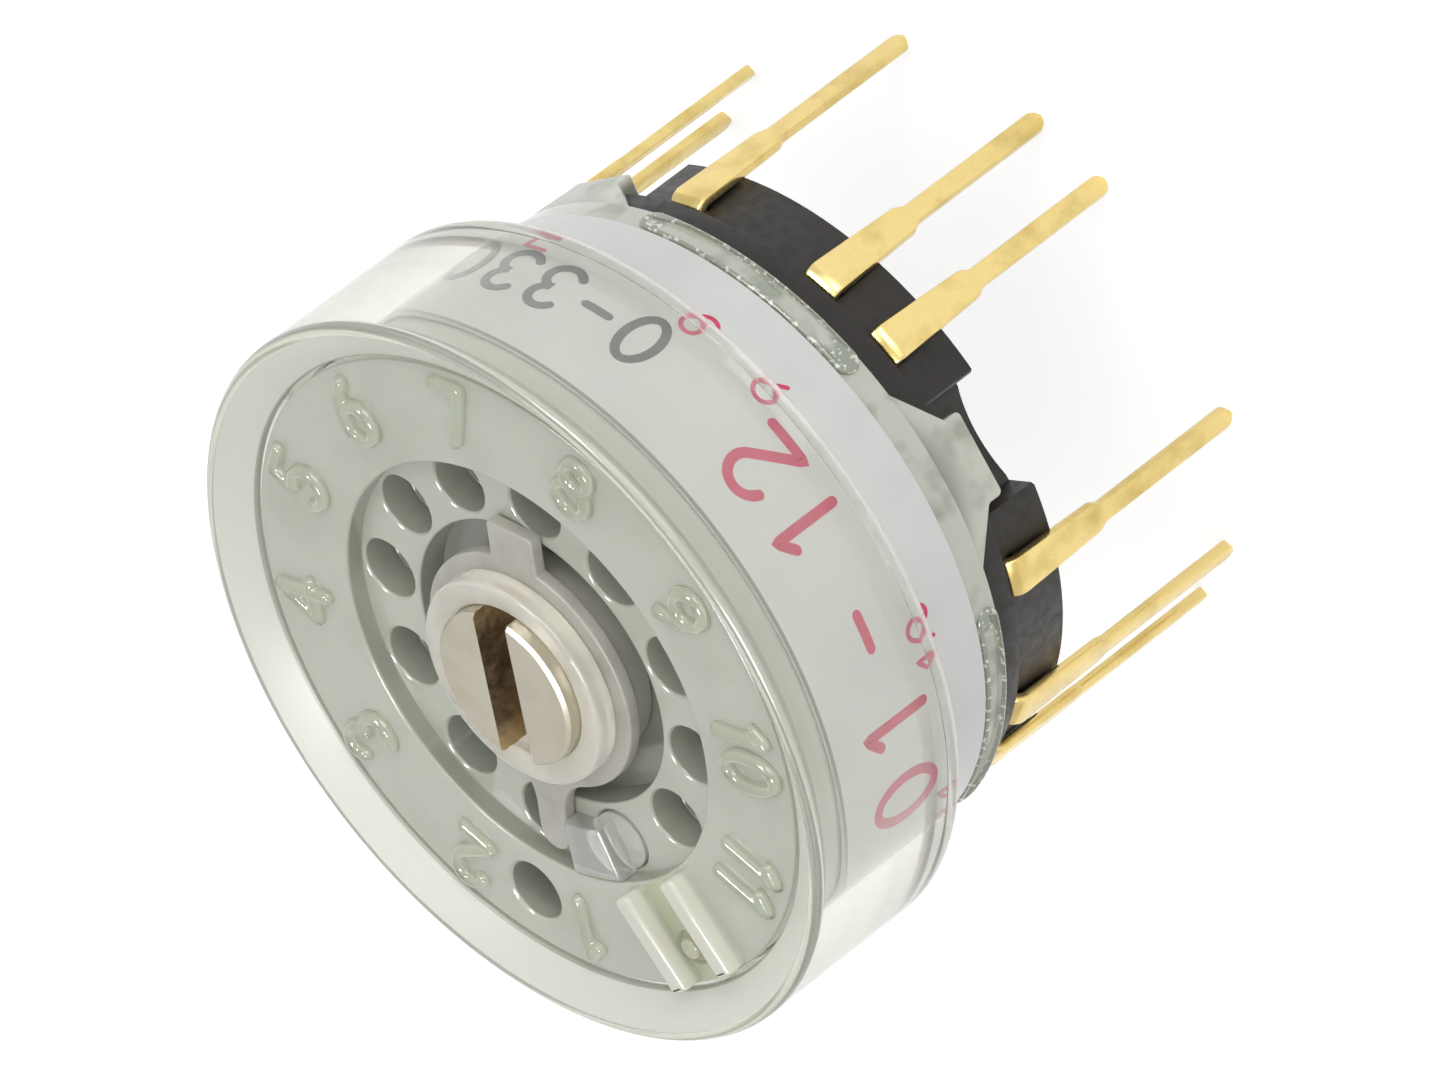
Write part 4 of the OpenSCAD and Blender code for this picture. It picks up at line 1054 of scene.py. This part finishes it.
# %% Stop pin
HEAD_IN, HEAD_OUT, HEAD_Z, HEAD_ANGLE, HEAD_HALF_ANGLE, PIN_ANGLE = 3.72, 4.93, 8.48, 67, 8.4, 75
sweep = [HEAD_HALF_ANGLE * (1 - k / 6) for k in range(13)]
head = slab("clear_stop_pin", [polar(HEAD_OUT, HEAD_ANGLE - a) for a in sweep]
            + [polar(HEAD_IN, HEAD_ANGLE + a) for a in sweep], FLOOR_Z, HEAD_Z, top=0.1)
shank = lathe("shank", round_corners([(0.0, 7.21, 0), (0.66, 7.21, 0.08), (0.66, 8.02, 0),
                                      (0.0, 8.02, 0)], 3), 48,
              centre=polar(STOP_CIRCLE_R, PIN_ANGLE))
combine(head, [shank], "UNION")
dress(head, clear_pin, "housing", ["stop_pin"])

# %% [markdown]
# ## Terminals
#
# A terminal is one gold-plated strip: a fixed contact inside the base, a flat run outwards, a
# tight bend at the flange and a leg that narrows to the round-ended pin. It could be cut from a
# plate, but its edges are soft from stamping, so a rounded section is swept along its side view
# and changes its width on the way.

# %% The blank of a terminal
STRIP_T, STRIP_W, SHOULDER_W, PIN_W = 0.25, 0.84, 0.68, 0.45
TERMINAL_R, BEND_R, CONTACT_R, SHOULDER_Z, SHOULDER_H = 7.00, 0.38, 5.00, -1.0, 0.3
BEND_X, BEND_Z, TIP_Z = TERMINAL_R + STRIP_T - BEND_R, LAND_Z - BEND_R, PIN_TIP_Z + PIN_W / 2


def strip_section(width, corner=0.055):
    """Rounded cross-section of the strip: (across, through) points."""
    corner, x, y = min(corner, width * 0.45), width / 2, STRIP_T / 2
    return round_corners([(-x, -y, corner), (x, -y, corner), (x, y, corner), (-x, y, corner)], 3)


def leg_width(z):
    """Width of the leg at a height: wide root that tapers, soft shoulders, round tip."""
    if z > BEND_Z:
        return STRIP_W
    if z > SHOULDER_Z:
        return STRIP_W + (SHOULDER_W - STRIP_W) * (BEND_Z - z) / (BEND_Z - SHOULDER_Z)
    if z > SHOULDER_Z - SHOULDER_H:
        t = (SHOULDER_Z - z) / SHOULDER_H
        return SHOULDER_W + (PIN_W - SHOULDER_W) * t * t * (3 - 2 * t)
    if z > TIP_Z:
        return PIN_W
    return 2 * math.sqrt(max((PIN_W / 2) ** 2 - (TIP_Z - z) ** 2, 0.0004))


def leg(turned):
    """The bend and the leg, standing at this angle."""
    stations = [(NOTCH_R - 0.1, LAND_Z - STRIP_T / 2, 90.0, STRIP_W)]
    for a in (90 - 7.5 * k for k in range(13)):
        x, z = polar(BEND_R - STRIP_T / 2, a)
        stations.append((BEND_X + x, BEND_Z + z, a, STRIP_W))
    heights = [0.6, 0.0, -0.6, -0.9] + [SHOULDER_Z - SHOULDER_H * k / 8 for k in range(9)]
    heights += [-1.35, -2.5, -3.8]
    heights += [TIP_Z - PIN_W / 2 * math.sin(math.radians(a)) for a in range(0, 86, 7)]
    stations += [(TERMINAL_R + STRIP_T / 2, z, 0.0, leg_width(z)) for z in heights]
    rings = []
    for x, z, a, width in stations:
        nx, nz = polar(1.0, a)
        rings.append([(x + through * nx, across, z + through * nz)
                      for across, through in strip_section(width)])
    return turn_to(skin("leg", rings), turned)


def blank(turned):
    """A whole terminal at angle 0 whose leg stands at another angle."""
    start, end = Vector((CONTACT_R, 0.0)), Vector(polar(NOTCH_R, turned))
    along = (end - start).normalized()
    side = Vector((-along.y, along.x)) * STRIP_W / 2
    heading = math.degrees(math.atan2(along.y, along.x))
    run = [tuple(start - side), tuple(end - side)]
    run += arc(end.x, end.y, STRIP_W / 2, STRIP_W / 2, heading - 80, heading + 80, 8)
    run += [tuple(end + side), tuple(start + side)]
    contact = round_corners([(0.0, 1.30, 0), (0.45, 1.30, 0), (0.45, 2.85, 0.05),
                             (0.0, 2.85, 0)], 3)
    return merge("terminal_blank", [
        leg(turned), slab("run", run, LAND_Z - STRIP_T, LAND_Z, top=0.02, bottom=0.02),
        lathe("contact", contact, 40, centre=(CONTACT_R, 0.0))])


print("the leg is", round(leg_width(0.0), 3), "mm wide at the base's rear face")

# %% [markdown]
# The same blank serves all positions, so a node tree turns one blank to its angle. The objects
# could be turned instead, but a finished piece stays unturned, with its place in its mesh.
# Every third terminal has its leg 15 degrees further on, clear of a lug.

# %% Twelve terminals by Geometry Nodes
def turn_tree(name):
    """A node tree that turns a shape round the switch's axis."""
    tree, start, keys = begin_tree(name, Angle="Float")
    angle = add_node(tree, "ShaderNodeCombineXYZ", {"Z": start.outputs["Angle"]})
    turned = add_node(tree, "GeometryNodeTransform",
                      {"Geometry": start.outputs["Geometry"],
                       "Rotation": angle.outputs["Vector"]})
    end_tree(tree, start, turned.outputs["Geometry"])
    return tree, keys


pin_tree, pin_keys = turn_tree("terminal circle")
for n in range(1, 13):
    terminal = blank(15 if n % 3 == 0 else 0)
    terminal.name = f"gold_terminal_{n:02d}"
    with_tree(terminal, pin_tree, pin_keys, Angle=math.radians(position_angle(n)),
              Material=gold_plate)
    dress(terminal, gold_plate, "housing", [f"terminal_{n:02d}"], sharp=40)

# %% [markdown]
# ## The base
#
# The base is a black moulding round the terminals: four lands with notches between them for
# the lugs, a flange that fills the case's end and a spigot. It is spun, cut, and then given a
# small radius on every edge, because a moulded resin has no knife edges. The notches are bowed
# at the bottom, and the rooms for the lugs come from the same `lug` with a gap.

# %% Base
NOTCH_HALF_ANGLE, NOTCH_LIP, NOTCH_BOW, BOW_R, CUT_R = 11, 0.2, 0.22, 2.6, 7.6
base = lathe("black_base", [
    (0.0, REAR_Z), (LAND_R, REAR_Z), (LAND_R, LAND_Z), (FLANGE_R, LAND_Z),
    (FLANGE_R, CASE_Z), (SPIGOT_R, CASE_Z), (SPIGOT_R, DECK_Z), (BASE_BORE_R, DECK_Z),
    (BASE_BORE_R, 0.75), (0.0, 0.75)], 144)
lip_x = LAND_R - NOTCH_LIP
inner, outer = [x * math.sin(math.radians(NOTCH_HALF_ANGLE)) for x in (NOTCH_R, lip_x)]
flared = outer + CUT_R - lip_x
notch = [(NOTCH_R, -inner), (lip_x, -outer), (CUT_R, -flared), (CUT_R, flared),
         (lip_x, outer), (NOTCH_R, inner)]
notch += arc(NOTCH_R - NOTCH_BOW + BOW_R, 0, BOW_R, BOW_R, 156.5, 203.5, 12)
cutters = []
for angle in LUG_ANGLES:
    cutters.append(turn_to(slab("notch_cutter", notch, -1.0, LAND_Z), angle))
    cutters.append(lug("lug_cutter", angle, LUG_GAP, CASE_Z + 0.3, SKIRT_IN_R, 7.8))
cutters += [turn_to(box("rebate_cutter", BEND_X - 0.02, CUT_R, -STRIP_W / 2 - 0.01,
                        STRIP_W / 2 + 0.01, BEND_Z - 0.01, LAND_Z + 0.005), pin_angle(n))
            for n in range(1, 13)]
combine(base, cutters, "DIFFERENCE")
dress(base, black_resin, "housing", ["terminal_base"], edge=0.035)

# %% [markdown]
# ## Detent springs
#
# Two small coil springs push the balls into the detent ring. They can't be seen through the
# case, but a coil is what the part is. Each is a curve that winds along its bore, with the wire
# swept along it, all in one node tree whose inputs are the real sizes of the spring.

# %% Detent springs by Geometry Nodes
COIL_R, WIRE_R, SPRING_LENGTH, SPRING_TURNS, SPRING_IN_R, SPRING_Z = 0.51, 0.07, 1.0, 5.0, 2.34, 4.51


def spring_tree(name):
    """A node tree that winds a wire into a coil, at a start and in a direction."""
    tree, start, keys = begin_tree(name, Coil_radius="Float", Wire_radius="Float",
                                   Length="Float", Turns="Float", Start="Vector",
                                   Direction="Vector")
    given = start.outputs
    spiral = add_node(tree, "GeometryNodeCurveSpiral",
                      {"Resolution": 24, "Rotations": given["Turns"],
                       "Start Radius": given["Coil radius"],
                       "End Radius": given["Coil radius"], "Height": given["Length"]})
    wire = add_node(tree, "GeometryNodeCurvePrimitiveCircle",
                    {"Resolution": 10, "Radius": given["Wire radius"]})
    swept = add_node(tree, "GeometryNodeCurveToMesh",
                     {"Curve": spiral.outputs["Curve"], "Profile Curve": wire.outputs["Curve"],
                      "Fill Caps": True})
    placed = add_node(tree, "GeometryNodeTransform",
                      {"Geometry": swept.outputs["Mesh"], "Translation": given["Start"],
                       "Rotation": given["Direction"]})
    end_tree(tree, start, placed.outputs["Geometry"])
    return tree, keys


coil_tree, coil_keys = spring_tree("detent spring")
for letter, angle in (("a", 150.0), ("b", 330.0)):
    low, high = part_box(f"detent_spring_{letter}")
    reach = math.hypot(*[max(abs(low[i]), abs(high[i])) for i in (0, 1)]) / MM
    spring = new_piece(f"detent_coil_{letter}", [(0, 0, 0)], [])
    x, y = polar(SPRING_IN_R + WIRE_R, angle)
    with_tree(spring, coil_tree, coil_keys, Coil_radius=COIL_R * MM, Wire_radius=WIRE_R * MM,
              Length=SPRING_LENGTH * MM, Turns=SPRING_TURNS,
              Start=(x * MM, y * MM, SPRING_Z * MM),
              Direction=(0.0, math.pi / 2, math.radians(angle)), Material=spring_steel)
    print(spring.name, "reaches", round(reach, 2), "mm in the solid model")
    dress(spring, spring_steel, "turning_group", [f"detent_spring_{letter}"])

# %% [markdown]
# ## Pieces that keep their solid form
#
# The seals, the detent ring, the rotor, the wiper and the balls lie inside the case. They could
# be built again here, but no view shows them, so their CAD meshes stay and get their real
# finish.

# %% Finishes of the inner pieces
INNER = {
    "case_gasket": black_rubber, "shaft_seal": black_rubber, "detent_ring": acetal,
    "common_terminal": gold_plate, "rear_seal": potting_resin, "rotor": rotor_resin,
    "contact_wiper": spring_bronze, "detent_ball_a": ball_steel, "detent_ball_b": ball_steel,
}
for name, material in INNER.items():
    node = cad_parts[name]
    node.data.materials.clear()
    node.data.materials.append(material)
print(len(INNER), "solids keep their own mesh")

# %% [markdown]
# ## Floor, light and camera
#
# The switch stands on its pins on a white floor in front of nothing but white. A plain white
# floor would render grey where no lamp reaches it, so this one is part surface and part light:
# the light keeps it white, and the surface keeps a soft shadow under the pins.

# %% Floor
FLOOR_SIZE = 1500.0
floor = new_piece("floor", [(FLOOR_SIZE * x, FLOOR_SIZE * y, PIN_TIP_Z)
                            for x, y in ((-1, -1), (1, -1), (1, 1), (-1, 1))], [(0, 1, 2, 3)])
paper = bpy.data.materials.new("white floor")
tree = emptied_tree(paper)
ray = add_node(tree, "ShaderNodeLightPath").outputs
seen = ray["Is Camera Ray"]
for way in ("Is Glossy Ray", "Is Transmission Ray"):
    seen = add_node(tree, "ShaderNodeMath", {0: seen, 1: ray[way]},
                    operation="MAXIMUM").outputs["Value"]
fill = add_node(tree, "ShaderNodeMath", {0: seen, 1: 0.68}, operation="MULTIPLY")
cloth = add_node(tree, "ShaderNodeBsdfDiffuse", {"Color": linear("#D0D0D0")})
glow = add_node(tree, "ShaderNodeEmission", {"Color": (1, 1, 1, 1),
                                             "Strength": fill.outputs["Value"]})
both = add_node(tree, "ShaderNodeAddShader", {0: cloth.outputs["BSDF"],
                                              1: glow.outputs["Emission"]})
add_node(tree, "ShaderNodeOutputMaterial", {"Surface": both.outputs["Shader"]})
floor.data.materials.append(paper)
print("floor at", PIN_TIP_Z, "mm, under the pins")

# %% [markdown]
# The world is a white tent. The eye, and what it sees through the clear plastic, meet plain
# white. What lights the pieces is a little lower, so a colour renders about as it is written,
# and reflections grow darker towards +X, which gives the metal and the clear edges their form.

# %% World
world = bpy.data.worlds.new("studio")
scene.world = world
tree = emptied_tree(world)
ray = add_node(tree, "ShaderNodeLightPath").outputs
seen = add_node(tree, "ShaderNodeMath", {0: ray["Is Camera Ray"],
                                         1: ray["Is Transmission Ray"]}, operation="MAXIMUM")
towards = add_node(tree, "ShaderNodeSeparateXYZ", {
    "Vector": add_node(tree, "ShaderNodeTexCoord").outputs["Generated"]})
tone = add_node(tree, "ShaderNodeMapRange", {"Value": towards.outputs["X"], "From Min": -0.6,
                                             "From Max": 0.9, "To Min": 1.0, "To Max": 0.75})
ambient, white, mirror = [
    add_node(tree, "ShaderNodeBackground", {"Color": (1, 1, 1, 1), "Strength": strength})
    for strength in (0.82, 1.0, tone.outputs["Result"])]
first = add_node(tree, "ShaderNodeMixShader", {0: seen.outputs["Value"],
                                               1: ambient.outputs["Background"],
                                               2: white.outputs["Background"]})
second = add_node(tree, "ShaderNodeMixShader", {0: ray["Is Glossy Ray"],
                                                1: first.outputs["Shader"],
                                                2: mirror.outputs["Background"]})
add_node(tree, "ShaderNodeOutputWorld", {"Surface": second.outputs["Shader"]})
print(world.name, "has", len(tree.nodes), "nodes")

# %% [markdown]
# The photo is lit softly from the front, and small hard sparks sit on the rounded edges. So one
# large soft lamp stands near the camera, and two small ones over the dial show only in the
# gloss: they add sparks without making the plastic any lighter.

# %% Lamps
def softbox(name, towards, distance, size, level, gloss_only=False):
    """A square lamp that lights a white card at the switch to this level, or only its gloss."""
    data = bpy.data.lights.new(name, "AREA")
    data.size = size
    data.energy = level * math.pi ** 2 * distance ** 2
    lamp = bpy.data.objects.new(name, data)
    lamp.location = Vector(towards).normalized() * distance + Vector((0, 0, 0.004))
    lamp.rotation_euler = (-Vector(towards)).to_track_quat("-Z", "Y").to_euler()
    lamp.visible_diffuse = not gloss_only
    scene.collection.objects.link(lamp)
    print(f"lamp {name}: {data.energy:.2f} W")


softbox("key", (-0.9, -0.5, 0.35), 0.4, 0.22, 0.33)
softbox("spark near", (-0.35, -0.75, 1.0), 0.35, 0.10, 0.5, gloss_only=True)
softbox("spark top", (-0.5, 0.35, 1.0), 0.35, 0.12, 0.9, gloss_only=True)

# %% [markdown]
# The photo shows the switch lying over, with its dial to the lower left and its pins to the
# upper right. The switch stands upright here, so the camera is rolled instead. Its distance and
# its long lens keep the photo's perspective, in which the far side is hardly smaller than the
# near one.

# %% Camera
AZIMUTH, ELEVATION, ROLL, LENS = 188.3156, 31.8910, -127.2768, 429.55
AIM, DISTANCE = Vector((1.2328, 0.4143, 2.0576)) * MM, 350 * MM
flat_x, flat_y = polar(math.cos(math.radians(ELEVATION)), AZIMUTH)
back = Vector((flat_x, flat_y, math.sin(math.radians(ELEVATION))))
lens = bpy.data.cameras.new("photo camera")
lens.lens = LENS
lens.sensor_width = 36.0
lens.clip_start = 0.01
lens.clip_end = 20.0
camera = bpy.data.objects.new("photo camera", lens)
camera.matrix_world = (Matrix.Translation(AIM + back * DISTANCE)
                       @ back.to_track_quat("Z", "Y").to_matrix().to_4x4()
                       @ Matrix.Rotation(math.radians(ROLL), 4, "Z"))
scene.collection.objects.link(camera)
scene.camera = camera
scene.view_settings.view_transform = "Standard"
print("camera at", [round(v / MM, 1) for v in camera.matrix_world.translation], "mm")
